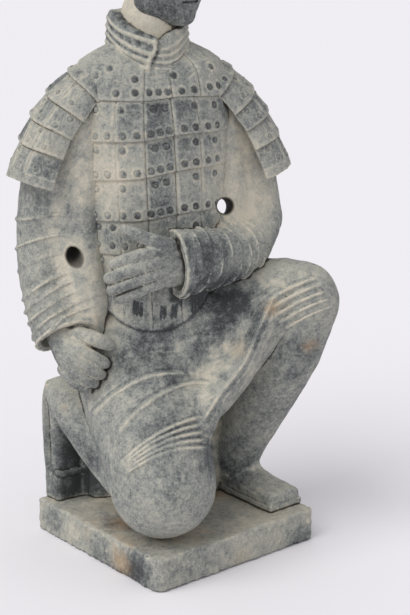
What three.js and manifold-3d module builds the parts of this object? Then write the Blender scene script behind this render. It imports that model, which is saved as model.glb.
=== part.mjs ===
// Kneeling armoured figure in fired clay on its square plinth slab.
// Millimetres, +Z up, the figure faces -Y, origin at the centre of the plinth underside.
import * as THREE from "three";
import { mergeVertices } from "three/addons/utils/BufferGeometryUtils.js";
import Module from "manifold-3d";

// ---------------------------------------------------------------- driving dimensions
const PLINTH_SIDE = 130;
const PLINTH_THICK = 22;
const PLINTH_CORNER = 7;
const PLINTH_BEVEL = 1.6;
const JOINT_GAP = 0.3;
const SHORTEST_EDGE = 1.1;
const GROUND = PLINTH_THICK + JOINT_GAP;

const BODY_AXIS_X = -1;
const BODY_AXIS_Y = 21;
const BODY_TURN = THREE.MathUtils.degToRad(-24);
const CHEST_HALF_WIDTH = 47;
const CHEST_HALF_DEPTH = 38;
const PLATE_STEP = 1.6;
const SEAM_WIDTH = 1.0;
const SEAM_DEPTH = 1.6;
const STUD_RADIUS = 2.3;
const STUD_PROUD = 1.3;

const NECK_X = 8;
const NECK_Y = 22;
const HEAD_TURN = THREE.MathUtils.degToRad(3);
const CHIN_Z = 330;
const HEAD_HEIGHT = 68;
const HEAD_HALF_WIDTH = 23;
const BUN_RADIUS = 10.5;

const VENT_RADIUS = 5;
const VENT_LENGTH = 46;

const wasm = await Module();
wasm.setup();

// ---------------------------------------------------------------- frames of reference
const v3 = (x, y, z) => new THREE.Vector3(x, y, z);

/** A point given as left / front / height of a frame turned about Z. */
function turned(axisX, axisY, turn, left, front, up) {
  const x = axisX + left * Math.cos(turn) + front * Math.sin(turn);
  const y = axisY + left * Math.sin(turn) - front * Math.cos(turn);
  return v3(x, y, up);
}

const body = (left, front, up) => turned(BODY_AXIS_X, BODY_AXIS_Y, BODY_TURN, left, front, up);
const head = (left, front, up) => turned(NECK_X, NECK_Y, HEAD_TURN, left, front, CHIN_Z + up);

// ---------------------------------------------------------------- solid helpers
function toSolid(geometry) {
  const bare = geometry.clone();
  bare.deleteAttribute("normal");
  bare.deleteAttribute("uv");
  const merged = mergeVertices(bare, 1e-3);
  const vertProperties = new Float32Array(merged.attributes.position.array);
  const triVerts = new Uint32Array(merged.index.array);
  const solid = new wasm.Manifold(new wasm.Mesh({ numProp: 3, vertProperties, triVerts }));
  if (solid.volume() > 0) return solid;
  for (let i = 0; i < triVerts.length; i += 3) {
    [triVerts[i + 1], triVerts[i + 2]] = [triVerts[i + 2], triVerts[i + 1]];
  }
  return new wasm.Manifold(new wasm.Mesh({ numProp: 3, vertProperties, triVerts }));
}

function toGeometry(solid) {
  const mesh = solid.getMesh();
  const geometry = new THREE.BufferGeometry();
  geometry.setAttribute("position", new THREE.BufferAttribute(new Float32Array(mesh.vertProperties), 3));
  geometry.setIndex(new THREE.BufferAttribute(new Uint32Array(mesh.triVerts), 1));
  return geometry;
}

function joined(solids) {
  let sum = solids[0];
  for (let i = 1; i < solids.length; i += 1) {
    sum = sum.add(solids[i]);
  }
  return sum;
}

/** Corner numbers of the triangles round each corner. */
function cornerTriangles(tris, count) {
  const round = Array.from({ length: count }, () => new Set());
  tris.forEach((tri, i) => tri.forEach((c) => round[c].add(i)));
  return round;
}

/** Draws together the ends of edges shorter than a limit, keeping the surface closed. */
function withoutShortEdges(geometry, limit) {
  const source = geometry.index.array;
  const place = geometry.attributes.position;
  const spots = [];
  for (let i = 0; i < place.count; i += 1) {
    spots.push(v3(place.getX(i), place.getY(i), place.getZ(i)));
  }
  const tris = [];
  for (let i = 0; i < source.length; i += 3) {
    tris.push([source[i], source[i + 1], source[i + 2]]);
  }
  const round = cornerTriangles(tris, spots.length);
  const others = (c) => {
    const near = new Set();
    for (const t of round[c]) for (const k of tris[t]) if (k !== c) near.add(k);
    return near;
  };
  const facing = (a, b, c) => b.clone().sub(a).cross(c.clone().sub(a));
  const keepsFacing = (from, to) => {
    for (const t of round[from]) {
      if (tris[t].includes(to)) continue;
      const before = facing(...tris[t].map((k) => spots[k]));
      const after = facing(...tris[t].map((k) => spots[k === from ? to : k]));
      const size = after.length();
      if (size < 1e-3) return false;
      const much = before.length() > 0.02;
      if (much && before.dot(after) < 0.35 * before.length() * size) return false;
    }
    return true;
  };
  for (const reach of [0.05, 0.3, 0.6, limit]) {
    let busy = true;
    for (let pass = 0; busy && pass < 6; pass += 1) {
      busy = false;
      for (let c = 0; c < spots.length; c += 1) {
        for (const k of others(c)) {
          if (spots[c].distanceTo(spots[k]) > reach) continue;
          const mine = others(c);
          let shared = 0;
          for (const n of others(k)) if (mine.has(n)) shared += 1;
          if (shared !== 2 || !keepsFacing(c, k)) continue;
          for (const t of [...round[c]]) {
            if (tris[t].includes(k)) {
              for (const n of tris[t]) round[n].delete(t);
              tris[t] = null;
            } else {
              tris[t] = tris[t].map((n) => (n === c ? k : n));
              round[k].add(t);
            }
          }
          round[c].clear();
          busy = true;
          break;
        }
      }
    }
  }
  const tidy = new THREE.BufferGeometry();
  const flat = spots.flatMap((q) => [q.x, q.y, q.z]);
  const kept = tris.filter((t) => t !== null).flat();
  tidy.setAttribute("position", new THREE.Float32BufferAttribute(flat, 3));
  tidy.setIndex(kept);
  return tidy;
}

/** The main body, without the tiny slivers the cuts leave where faces nearly meet. */
function largestBody(solid) {
  const bodies = solid.decompose();
  bodies.sort((a, b) => b.volume() - a.volume());
  return bodies[0];
}

/** Value of a table of [height, value] pairs at one height. */
function along(table, at) {
  if (at <= table[0][0]) return table[0][1];
  for (let i = 1; i < table.length; i += 1) {
    const [h1, v1] = table[i];
    const [h0, v0] = table[i - 1];
    if (at <= h1) {
      return v0 + ((v1 - v0) * (at - h0)) / (h1 - h0);
    }
  }
  return table[table.length - 1][1];
}

/**
 * A rounded body swept along a smooth line.
 * Stations are { at, wide, deep }; wide lies along `side`, deep square to it.
 * fold(s, angle) adds millimetres to the radius, s from 0 to 1 along the line.
 */
function limb(stations, options = {}) {
  const { around = 14, rows = 10, side = v3(1, 0, 0), fold = null } = options;
  const curve = new THREE.CatmullRomCurve3(stations.map((s) => s.at), false, "centripetal");
  const length = curve.getLength();
  const last = stations.length - 1;
  const lerp = (key, t) => {
    const f = t * last;
    const i = Math.min(last - 1, Math.floor(f));
    const k = f - i;
    const ease = k * k * (3 - 2 * k);
    return stations[i][key] * (1 - ease) + stations[i + 1][key] * ease;
  };
  const capA = 0.5 * (stations[0].wide + stations[0].deep);
  const capB = 0.5 * (stations[last].wide + stations[last].deep);
  const total = capA * 1.2 + length + capB * 1.2;
  const geometry = new THREE.SphereGeometry(1, around, rows);
  const place = geometry.attributes.position;
  for (let i = 0; i < place.count; i += 1) {
    const y = THREE.MathUtils.clamp(place.getY(i), -1, 1);
    const angle = Math.atan2(place.getZ(i), place.getX(i));
    const run = (Math.acos(y) / Math.PI) * total;
    let t = (run - capA * 1.2) / length;
    let shrink = 1;
    let push = 0;
    if (t < 0) {
      const a = (run / (capA * 1.2)) * (Math.PI / 2);
      shrink = Math.sin(a);
      push = -capA * Math.cos(a);
      t = 0;
    } else if (t > 1) {
      const a = ((total - run) / (capB * 1.2)) * (Math.PI / 2);
      shrink = Math.sin(Math.max(0, a));
      push = capB * Math.cos(Math.max(0, a));
      t = 1;
    }
    const centre = curve.getPoint(t);
    const tangent = curve.getTangent(t);
    const wideDir = side.clone().addScaledVector(tangent, -side.dot(tangent)).normalize();
    const deepDir = tangent.clone().cross(wideDir);
    const extra = fold && shrink === 1 ? fold(t, angle) : 0;
    const p = centre.clone().addScaledVector(tangent, push);
    p.addScaledVector(wideDir, (lerp("wide", t) + extra) * shrink * Math.cos(angle));
    p.addScaledVector(deepDir, (lerp("deep", t) + extra) * shrink * Math.sin(angle));
    place.setXYZ(i, p.x, p.y, p.z);
  }
  return toSolid(geometry);
}

/** A standing stack of closed sections; place(row, angle) returns each corner. */
function stack(rowCount, angles, place) {
  const geometry = new THREE.CylinderGeometry(1, 1, 1, angles.length, rowCount - 1);
  const where = geometry.attributes.position;
  for (let i = 0; i < where.count; i += 1) {
    const x = where.getX(i);
    const z = where.getZ(i);
    const row = Math.round((0.5 - where.getY(i)) * (rowCount - 1));
    const middle = Math.hypot(x, z) < 1e-6;
    const share = (Math.atan2(x, z) / (2 * Math.PI) + 1) % 1;
    const index = Math.round(share * angles.length) % angles.length;
    const p = place(row, angles[index], middle);
    where.setXYZ(i, p.x, p.y, p.z);
  }
  return toSolid(geometry);
}

/** Radius of a squared-off oval in one direction. */
function oval(angle, halfWidth, halfDepth, power) {
  const c = Math.abs(Math.sin(angle)) / halfWidth;
  const s = Math.abs(Math.cos(angle)) / halfDepth;
  return (c ** power + s ** power) ** (-1 / power);
}

/** A cylinder from one point to another. */
function rod(from, to, radiusFrom, radiusTo, around = 8) {
  const axis = to.clone().sub(from);
  const geometry = new THREE.CylinderGeometry(radiusTo, radiusFrom, axis.length(), around, 1);
  const spin = new THREE.Quaternion().setFromUnitVectors(v3(0, 1, 0), axis.clone().normalize());
  geometry.applyQuaternion(spin);
  const mid = from.clone().add(to).multiplyScalar(0.5);
  geometry.translate(mid.x, mid.y, mid.z);
  return toSolid(geometry);
}

function block(centre, sizeX, sizeY, sizeZ, turn = 0) {
  const geometry = new THREE.BoxGeometry(sizeX, sizeY, sizeZ);
  geometry.rotateZ(turn);
  geometry.translate(centre.x, centre.y, centre.z);
  return toSolid(geometry);
}

// ---------------------------------------------------------------- torso and armour
const CHEST_WIDTHS = [
  [126, 40], [146, 46], [180, 43.5], [214, 44.5], [245, 47], [268, CHEST_HALF_WIDTH], [284, 46],
  [296, 40], [306, 31], [314, 24],
];
const CHEST_DEPTHS = [
  [126, 36], [146, 40], [180, 36.5], [214, 37], [245, 38], [268, CHEST_HALF_DEPTH], [284, 35],
  [296, 30], [306, 26], [314, 22],
];
const ROW_SEAMS = [195, 216, 242, 265, 288.5];
const COLUMN_EDGES = [-40, -27.5, -10.6, 7.4, 24.5, 41];
const APRON_FRONT_Z = 147;
const APRON_SIDE_Z = 166;
const APRON_FLARE = 5;

function chestPoint(angle, up, extra) {
  const reach = oval(angle, along(CHEST_WIDTHS, up), along(CHEST_DEPTHS, up), 2.35) + extra;
  return body(reach * Math.sin(angle), reach * Math.cos(angle), up);
}

function torso() {
  const heights = [[132, -9], [188, -7]];
  for (const seam of ROW_SEAMS) {
    heights.push([seam - 0.4, -0.2]);
    heights.push([seam + 0.4, PLATE_STEP]);
  }
  heights.push([300, 0.4], [307, 0], [314, 0]);
  heights.reverse();
  const angles = [];
  for (let k = 0; k < 24; k += 1) {
    angles.push((k / 24) * 2 * Math.PI);
  }
  return stack(heights.length, angles, (row, angle, middle) => {
    const [up, grow] = heights[row];
    return middle ? body(0, 0, up) : chestPoint(angle, up, grow);
  });
}

/** The skirt of the armour below the waist, its lower edge rounded up at the sides. */
function apron() {
  const angles = [];
  for (let k = 0; k < 24; k += 1) {
    angles.push((k / 24) * 2 * Math.PI);
  }
  const shares = [0, 0.35, 0.7, 1];
  return stack(shares.length, angles, (row, angle, middle) => {
    const rise = Math.min(1, Math.abs(Math.sin(angle)) ** 1.5);
    const low = APRON_FRONT_Z + (APRON_SIDE_Z - APRON_FRONT_Z) * rise;
    const up = 200 - (200 - low) * shares[row];
    if (middle) return body(0, 0, 200 - (200 - APRON_SIDE_Z) * shares[row]);
    return chestPoint(angle, up, 0.6 + shares[row] * APRON_FLARE);
  });
}

/** Thin upright cuts between the plates of one row. */
function seamCuts() {
  const cuts = [];
  for (let row = 0; row < ROW_SEAMS.length - 1; row += 1) {
    const low = ROW_SEAMS[row] + 0.6;
    const high = ROW_SEAMS[row + 1] - 0.2;
    for (const edge of COLUMN_EDGES) {
      const mid = 0.5 * (low + high);
      const reach = frontReach(edge, mid);
      const centre = body(edge, reach, mid);
      cuts.push(block(centre, SEAM_WIDTH, 2 * SEAM_DEPTH, high - low, BODY_TURN));
    }
  }
  return cuts;
}

/** How far forward the chest stands at one left / right place and height. */
function frontReach(left, up) {
  const ratio = Math.min(0.98, Math.abs(left) / along(CHEST_WIDTHS, up));
  return along(CHEST_DEPTHS, up) * (1 - ratio ** 2.35) ** (1 / 2.35);
}

function studs() {
  const out = [];
  for (let row = 1; row < ROW_SEAMS.length; row += 1) {
    const low = ROW_SEAMS[row - 1] + 4.2;
    const high = ROW_SEAMS[row] - 5;
    const places = [[-7.2, low], [-1.6, low], [4, low], [-4.6, high], [1.4, high]];
    for (const [left, up] of places) {
      const reach = frontReach(left, up) + PLATE_STEP * 0.6;
      const from = body(left, reach - 3, up);
      const to = body(left, reach + STUD_PROUD, up);
      out.push(rod(from, to, STUD_RADIUS, STUD_RADIUS * 0.75, 6));
    }
  }
  return out;
}

// ---------------------------------------------------------------- collar, neck and head
function collar() {
  const profile = [
    new THREE.Vector2(0, 294), new THREE.Vector2(31, 296), new THREE.Vector2(31.5, 302),
    new THREE.Vector2(29, 305), new THREE.Vector2(30.5, 310), new THREE.Vector2(29.5, 314),
    new THREE.Vector2(27, 317), new THREE.Vector2(29, 322), new THREE.Vector2(28, 327),
    new THREE.Vector2(25.5, 330), new THREE.Vector2(26.5, 334), new THREE.Vector2(24.5, 338),
    new THREE.Vector2(21, 337), new THREE.Vector2(0, 332),
  ];
  const geometry = new THREE.LatheGeometry(profile, 16);
  const place = geometry.attributes.position;
  for (let i = 0; i < place.count; i += 1) {
    const left = place.getX(i);
    const front = place.getZ(i);
    const dip = front > 0 ? -0.42 * front : -0.06 * front;
    const p = body(left - 2, front * 0.92 - 7, place.getY(i) + dip);
    place.setXYZ(i, p.x, p.y, p.z);
  }
  const merged = mergeVertices(geometry.deleteAttribute("normal").deleteAttribute("uv"), 1e-3);
  return toSolid(merged);
}

function skull() {
  const stations = [
    [0, 16, 7.5, 10], [4, 13.6, 12.5, 14.4], [12, 11, 18.5, 18.5], [22, 8.5, 21, 20.5],
    [32, 5.5, 22.3, 23], [42, 3, 23, 25], [52, 1.2, 21.8, 24], [60, 0.5, 17.5, 19.5],
    [65, 0, 11, 12.5], [67, 0, 4, 5],
  ];
  const angles = [];
  for (let k = 0; k < 14; k += 1) {
    angles.push((k / 14) * 2 * Math.PI);
  }
  return stack(stations.length, angles, (row, angle, middle) => {
    const [up, front, wide, deep] = stations[stations.length - 1 - row];
    const high = (up * HEAD_HEIGHT) / 68;
    if (middle) return head(0, front, high);
    const scale = HEAD_HALF_WIDTH / 23;
    return head(wide * scale * Math.sin(angle), front + deep * Math.cos(angle), high);
  });
}

function face() {
  const nose = new THREE.CylinderGeometry(1.6, 4.6, 17, 6, 1);
  nose.scale(1, 1, 0.9);
  nose.rotateX(Math.PI / 2 + 0.2);
  nose.rotateZ(HEAD_TURN);
  const at = head(0, 28.2, 30);
  nose.translate(at.x, at.y, at.z);
  const parts = [toSolid(nose)];
  for (const sign of [-1, 1]) {
    const lobe = limb([
      { at: head(sign * 22.5, 1, 20), wide: 2, deep: 3.2 },
      { at: head(sign * 24, 0, 28), wide: 2.4, deep: 4.6 },
      { at: head(sign * 23.5, -1, 37), wide: 2.4, deep: 4.8 },
    ], { around: 6, rows: 6 });
    parts.push(lobe);
  }
  return parts;
}

function hair() {
  const cap = new THREE.SphereGeometry(1, 12, 7);
  cap.rotateX(Math.PI / 2);
  cap.scale(24, 27, 25.5);
  cap.rotateZ(HEAD_TURN);
  const centre = head(0, -1.5, 44);
  cap.translate(centre.x, centre.y, centre.z);
  const bun = limb([
    { at: head(5, -4, 62), wide: 8.5, deep: 8.5 },
    { at: head(7.5, -5, 72), wide: BUN_RADIUS, deep: BUN_RADIUS },
  ], { around: 10, rows: 7 });
  const nape = limb([
    { at: head(0, -20, 36), wide: 14, deep: 8 },
    { at: head(0, -19, 16), wide: 11, deep: 7 },
  ], { around: 12, rows: 6 });
  return [toSolid(cap), bun, nape];
}

function neck() {
  return limb([
    { at: body(-2, -7, 304), wide: 24, deep: 22 },
    { at: body(-1, -5, 322), wide: 21.5, deep: 21 },
    { at: head(0, -3, 12), wide: 18.5, deep: 19 },
  ], { around: 16, rows: 7, side: body(1, 0, 0).sub(body(0, 0, 0)) });
}

// ---------------------------------------------------------------- arms and hands
const ridges = (count, height, sharp = 1) => (t) => {
  const wave = 0.5 + 0.5 * Math.cos(t * count * 2 * Math.PI);
  return height * (wave ** sharp);
};

/** Solid shoulders behind the guards, from one arm to the other. */
function yoke() {
  return limb([
    { at: body(-44, -1, 278), wide: 18, deep: 15 },
    { at: body(0, -1, 284), wide: 24, deep: 18 },
    { at: body(44, -1, 278), wide: 18, deep: 15 },
  ], { side: body(0, 1, 0).sub(body(0, 0, 0)), rows: 8, around: 10 });
}

function rightArm() {
  const side = v3(1, 0.2, 0);
  const upper = limb([
    { at: body(-50, -1, 280), wide: 15, deep: 17 },
    { at: body(-64, -2, 250), wide: 16.5, deep: 17.5 },
    { at: body(-68, -3, 205), wide: 17, deep: 18.5 },
    { at: body(-68, 6, 176), wide: 17.5, deep: 18 },
    { at: body(-64, 20, 150), wide: 17, deep: 17 },
  ], { side, rows: 14, around: 10, fold: ridges(4, 1.0) });
  const cuff = rod(body(-65, 16, 156), body(-61, 25, 141), 17.2, 18.4, 14);
  return [upper, cuff];
}

/** Clay left standing between each sleeve and the body. */
function webs() {
  const across = body(0, 1, 0).sub(body(0, 0, 0));
  const right = limb([
    { at: body(-51, -1, 244), wide: 9, deep: 10 },
    { at: body(-54, 6, 200), wide: 9.5, deep: 12 },
    { at: body(-50, 14, 160), wide: 9, deep: 12 },
  ], { side: across, rows: 7, around: 10 });
  const left = limb([
    { at: body(50, 0, 246), wide: 9, deep: 10 },
    { at: body(46, 8, 206), wide: 10, deep: 13 },
    { at: body(40, 16, 190), wide: 10, deep: 12 },
  ], { side: across, rows: 7, around: 10 });
  return [right, left];
}

function leftArm() {
  const side = v3(0, 0, 1);
  const upper = limb([
    { at: body(50, -1, 280), wide: 15, deep: 17 },
    { at: body(62, -2, 250), wide: 16.5, deep: 17.5 },
    { at: body(67, -1, 206), wide: 18.5, deep: 19 },
  ], { side: v3(1, -0.2, 0), rows: 6, around: 10 });
  const fore = limb([
    { at: body(66, 0, 204), wide: 17.5, deep: 17.5 },
    { at: body(50, 22, 198), wide: 17.5, deep: 17.5 },
    { at: body(26, 38, 192), wide: 19, deep: 17.5 },
    { at: body(9, 43, 190), wide: 20, deep: 17 },
  ], { side, rows: 15, around: 10, fold: ridges(4, 1.1) });
  return [upper, fore];
}

function fingers(knuckles, tips, radius, bend) {
  const out = [];
  for (let i = 0; i < knuckles.length; i += 1) {
    const mid = knuckles[i].clone().lerp(tips[i], 0.5).add(bend);
    out.push(limb([
      { at: knuckles[i], wide: radius, deep: radius },
      { at: mid, wide: radius * 0.96, deep: radius * 0.96 },
      { at: tips[i], wide: radius * 0.8, deep: radius * 0.8 },
    ], { around: 6, rows: 6, side: v3(0, 0.3, 1) }));
  }
  return out;
}

function rightHand() {
  const palm = limb([
    { at: body(-62, 22, 146), wide: 12, deep: 13 },
    { at: body(-57, 32, 130), wide: 11, deep: 13.5 },
  ], { around: 12, rows: 8 });
  const knuckles = [];
  const tips = [];
  for (let i = 0; i < 4; i += 1) {
    knuckles.push(body(-60 + i * 1.2, 41 - i * 1.5, 135 - i * 6.2));
    tips.push(body(-42 + i * 0.8, 41 - i * 2, 129 - i * 5.2));
  }
  const curl = body(0, 4, 0).sub(body(0, 0, 0));
  const thumb = limb([
    { at: body(-56, 36, 146), wide: 5.4, deep: 5.4 },
    { at: body(-47, 43, 142), wide: 4.8, deep: 4.8 },
    { at: body(-41, 44, 135), wide: 4, deep: 4 },
  ], { around: 6, rows: 6 });
  return [palm, thumb, ...fingers(knuckles, tips, 4.6, curl)];
}

function leftHand() {
  const palm = limb([
    { at: body(6, 45, 191), wide: 15, deep: 9 },
    { at: body(-12, 46, 190), wide: 15, deep: 8 },
  ], { around: 12, rows: 8, side: v3(0, 0, 1) });
  const knuckles = [];
  const tips = [];
  const reach = [-36, -39, -38, -33];
  for (let i = 0; i < 4; i += 1) {
    knuckles.push(body(-12, 49 - i * 0.5, 200 - i * 6.6));
    tips.push(body(reach[i], 43, 193 - i * 6.2));
  }
  const curl = body(0, 1.5, 0).sub(body(0, 0, 0));
  const thumb = limb([
    { at: body(-6, 49, 201), wide: 5, deep: 5 },
    { at: body(-18, 49, 207), wide: 4.6, deep: 4.6 },
    { at: body(-29, 44, 209), wide: 3.8, deep: 3.8 },
  ], { around: 6, rows: 6 });
  return [palm, thumb, ...fingers(knuckles, tips, 3.9, curl)];
}

/** Stepped plates hanging from the shoulder over the outer side of the arm. */
function shoulderGuard(sign) {
  const rows = [];
  const count = 5;
  for (let k = 0; k < count; k += 1) {
    rows.push([k / count, 0]);
    rows.push([(k + 0.93) / count, PLATE_STEP * 1.1]);
  }
  rows.push([1, 0.4]);
  const path = new THREE.CatmullRomCurve3([
    body(sign * 36, -2, 299), body(sign * 50, -2, 285), body(sign * 61, -2, 262),
    body(sign * 65, 0, 226),
  ]);
  const angles = [];
  for (let k = 0; k < 14; k += 1) {
    angles.push((k / 14) * 2 * Math.PI);
  }
  const across = body(1, 0, 0).sub(body(0, 0, 0));
  const solid = stack(rows.length, angles, (row, angle, middle) => {
    const [t, grow] = rows[row];
    const centre = path.getPoint(t);
    if (middle) return centre;
    const tangent = path.getTangent(t);
    const wideDir = across.clone().addScaledVector(tangent, -across.dot(tangent)).normalize();
    const deepDir = tangent.clone().cross(wideDir);
    const wide = along([[0, 14], [0.3, 20], [0.7, 21.5], [1, 21.5]], t) + grow;
    const deep = along([[0, 25], [0.3, 27], [0.7, 25.5], [1, 25]], t) + grow;
    const p = centre.clone();
    p.addScaledVector(wideDir, -wide * Math.sin(angle));
    p.addScaledVector(deepDir, wide > 0 ? deep * Math.cos(angle) : 0);
    return p;
  });
  const trim = block(body(sign * 34, 0, 225), 24, 90, 80, BODY_TURN);
  return solid.subtract(trim);
}

// ---------------------------------------------------------------- robe, legs and feet
function rightLeg() {
  const bandAt = (t) => {
    let extra = 0;
    for (const at of [0.62, 0.68, 0.74]) {
      extra += 1.4 * Math.exp(-(((t - at) / 0.016) ** 2));
    }
    for (const at of [0.25, 0.42]) {
      extra += 1.6 * Math.exp(-(((t - at) / 0.03) ** 2));
    }
    return extra;
  };
  const thigh = limb([
    { at: v3(-20, 26, 118), wide: 36, deep: 34 },
    { at: v3(-30, -4, 92), wide: 35, deep: 36 },
    { at: v3(-37, -32, 66), wide: 33, deep: 33.5 },
    { at: v3(-38, -38, 54), wide: 32, deep: 31 },
  ], { side: v3(1, -0.3, 0), rows: 16, around: 14, fold: bandAt });
  const calf = limb([
    { at: v3(-38, -34, 47), wide: 24, deep: 22 },
    { at: v3(-43, 0, 62), wide: 20, deep: 19 },
    { at: v3(-48, 34, 84), wide: 16, deep: 16.5 },
    { at: v3(-48, 51, 94), wide: 13.5, deep: 13.5 },
  ], { side: v3(1, 0, 0), rows: 7, around: 10 });
  const foot = limb([
    { at: v3(-47, 56, 95), wide: 12.5, deep: 11 },
    { at: v3(-46, 56, 68), wide: 12, deep: 10 },
    { at: v3(-46, 55.5, 40), wide: 12, deep: 9.5 },
    { at: v3(-46, 55.5, 33), wide: 12, deep: 9 },
  ], { side: v3(1, 0, 0), rows: 7, around: 10 });
  const sole = block(v3(-46, 64.2, 62), 24, 8.6, 78);
  const toes = block(v3(-46, 49.5, GROUND + 7), 23, 28, 14);
  return [thigh, calf, foot, sole, toes];
}

function leftLeg() {
  const pleats = (t) => {
    let extra = 0;
    for (const at of [0.72, 0.79, 0.86, 0.93]) {
      extra += 1.3 * Math.exp(-(((t - at) / 0.018) ** 2));
    }
    return extra;
  };
  const thigh = limb([
    { at: v3(14, 26, 130), wide: 33, deep: 32 },
    { at: v3(44, -8, 143), wide: 30, deep: 29 },
    { at: v3(62, -34, 154), wide: 26, deep: 26 },
    { at: v3(71, -45, 157), wide: 24, deep: 24 },
  ], { side: v3(0.6, 0.5, 0), rows: 15, around: 12, fold: pleats });
  const shin = limb([
    { at: v3(71, -46, 156), wide: 24, deep: 23 },
    { at: v3(65, -34, 122), wide: 22.5, deep: 23.5 },
    { at: v3(55, -19, 84), wide: 18.5, deep: 20.5 },
    { at: v3(48, -9, 52), wide: 15, deep: 16 },
  ], { side: v3(0.8, 0.6, 0), rows: 7, around: 12 });
  const wall = limb([
    { at: v3(30, 8, 112), wide: 20, deep: 16 },
    { at: v3(26, 10, 70), wide: 19, deep: 13 },
    { at: v3(26, 10, 26), wide: 19, deep: 13 },
  ], { side: v3(1, 0, 0), rows: 5, around: 10 });
  const shape = new THREE.Shape();
  shape.moveTo(-6, 0);
  shape.lineTo(53, 0);
  shape.lineTo(54, 7);
  shape.lineTo(50, 10.5);
  shape.lineTo(32, 14.5);
  shape.lineTo(14, 20.5);
  shape.lineTo(-4, 24);
  shape.lineTo(-9, 14);
  shape.closePath();
  const shoe = new THREE.ExtrudeGeometry(shape, {
    depth: 23, bevelEnabled: true, bevelThickness: 2.5, bevelSize: 1.5, bevelOffset: -1.5,
    bevelSegments: 2,
  });
  shoe.rotateX(Math.PI / 2);
  shoe.rotateZ(-Math.PI / 2);
  shoe.translate(61.5, 0, GROUND);
  return [thigh, shin, wall, toSolid(shoe)];
}

function robe() {
  const lap = limb([
    { at: v3(-26, -8, 112), wide: 30, deep: 22 },
    { at: v3(8, -10, 118), wide: 33, deep: 24 },
    { at: v3(44, -22, 138), wide: 29, deep: 24 },
  ], { side: v3(0.35, 0.5, -0.85), rows: 12, around: 12, fold: ridges(4, 1.2) });
  const drape = limb([
    { at: v3(30, -20, 122), wide: 16, deep: 22 },
    { at: v3(8, -30, 104), wide: 18, deep: 20 },
    { at: v3(-12, -40, 88), wide: 18, deep: 18 },
  ], { side: v3(0, 1, 0), rows: 9, around: 12 });
  const hips = limb([
    { at: body(-20, -10, 134), wide: 32, deep: 32 },
    { at: body(18, -10, 134), wide: 32, deep: 32 },
  ], { side: v3(0, 1, 0), rows: 8, around: 14 });
  const tail = limb([
    { at: v3(8, 32, 122), wide: 36, deep: 28 },
    { at: v3(0, 40, 84), wide: 37, deep: 21 },
    { at: v3(0, 45, 46), wide: 36, deep: 17 },
    { at: v3(0, 46, 26), wide: 37, deep: 16.5 },
  ], { side: v3(1, 0.1, 0), rows: 8, around: 14, fold: (t, a) => 1.4 * Math.cos(a * 7) });
  const core = limb([
    { at: v3(4, 18, 110), wide: 26, deep: 26 },
    { at: v3(-8, 12, 72), wide: 24, deep: 24 },
  ], { side: v3(1, 0, 0), rows: 6, around: 10 });
  return [lap, drape, hips, tail, core];
}

// ---------------------------------------------------------------- the whole figure
function figureSolid() {
  const whole = joined([
    torso(), apron(), yoke(), neck(), collar(), skull(), ...face(), ...hair(),
    ...rightArm(), ...leftArm(), ...webs(), shoulderGuard(-1), shoulderGuard(1),
    ...rightHand(), ...leftHand(), ...robe(), ...rightLeg(), ...leftLeg(),
  ]);
  const vents = [
    rod(body(-54, -24, 198), body(-53, VENT_LENGTH, 188), VENT_RADIUS, VENT_RADIUS, 12),
    rod(body(38, -24, 226), body(44, VENT_LENGTH, 206), VENT_RADIUS, VENT_RADIUS, 12),
  ];
  const below = block(v3(0, 0, GROUND - 20), 300, 300, 40);
  const carved = whole.subtract(joined([...vents, ...seamCuts(), below]));
  return largestBody(joined([carved, ...studs()]));
}

function plinthGeometry() {
  const half = PLINTH_SIDE / 2;
  const reach = half - PLINTH_CORNER;
  const shape = new THREE.Shape();
  shape.moveTo(-reach, -half);
  shape.lineTo(reach, -half);
  shape.absarc(reach, -reach, PLINTH_CORNER, -Math.PI / 2, 0, false);
  shape.lineTo(half, reach);
  shape.absarc(reach, reach, PLINTH_CORNER, 0, Math.PI / 2, false);
  shape.lineTo(-reach, half);
  shape.absarc(-reach, reach, PLINTH_CORNER, Math.PI / 2, Math.PI, false);
  shape.lineTo(-half, -reach);
  shape.absarc(-reach, -reach, PLINTH_CORNER, Math.PI, Math.PI * 1.5, false);
  const geometry = new THREE.ExtrudeGeometry(shape, {
    depth: PLINTH_THICK - 2 * PLINTH_BEVEL, curveSegments: 6, bevelEnabled: true,
    bevelThickness: PLINTH_BEVEL, bevelSize: PLINTH_BEVEL, bevelOffset: -PLINTH_BEVEL,
    bevelSegments: 2,
  });
  geometry.translate(0, 0, PLINTH_BEVEL);
  return geometry;
}

function piece(name, geometry, colour) {
  const material = new THREE.MeshStandardMaterial({ color: colour, roughness: 0.85 });
  const mesh = new THREE.Mesh(geometry, material);
  mesh.name = name;
  return mesh;
}

const scene = new THREE.Group();
scene.add(piece("kneeling_figure", withoutShortEdges(toGeometry(figureSolid()), SHORTEST_EDGE), 0x7d7f7a));
scene.add(piece("plinth", plinthGeometry(), 0x8f8574));
export default scene;
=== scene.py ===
"""Kneeling armoured figure in fired grey clay on its square slab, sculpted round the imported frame.

Lengths in the tables below are millimetres of the row frame; MM turns them into metres."""

import math
from concurrent.futures import ThreadPoolExecutor

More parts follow.
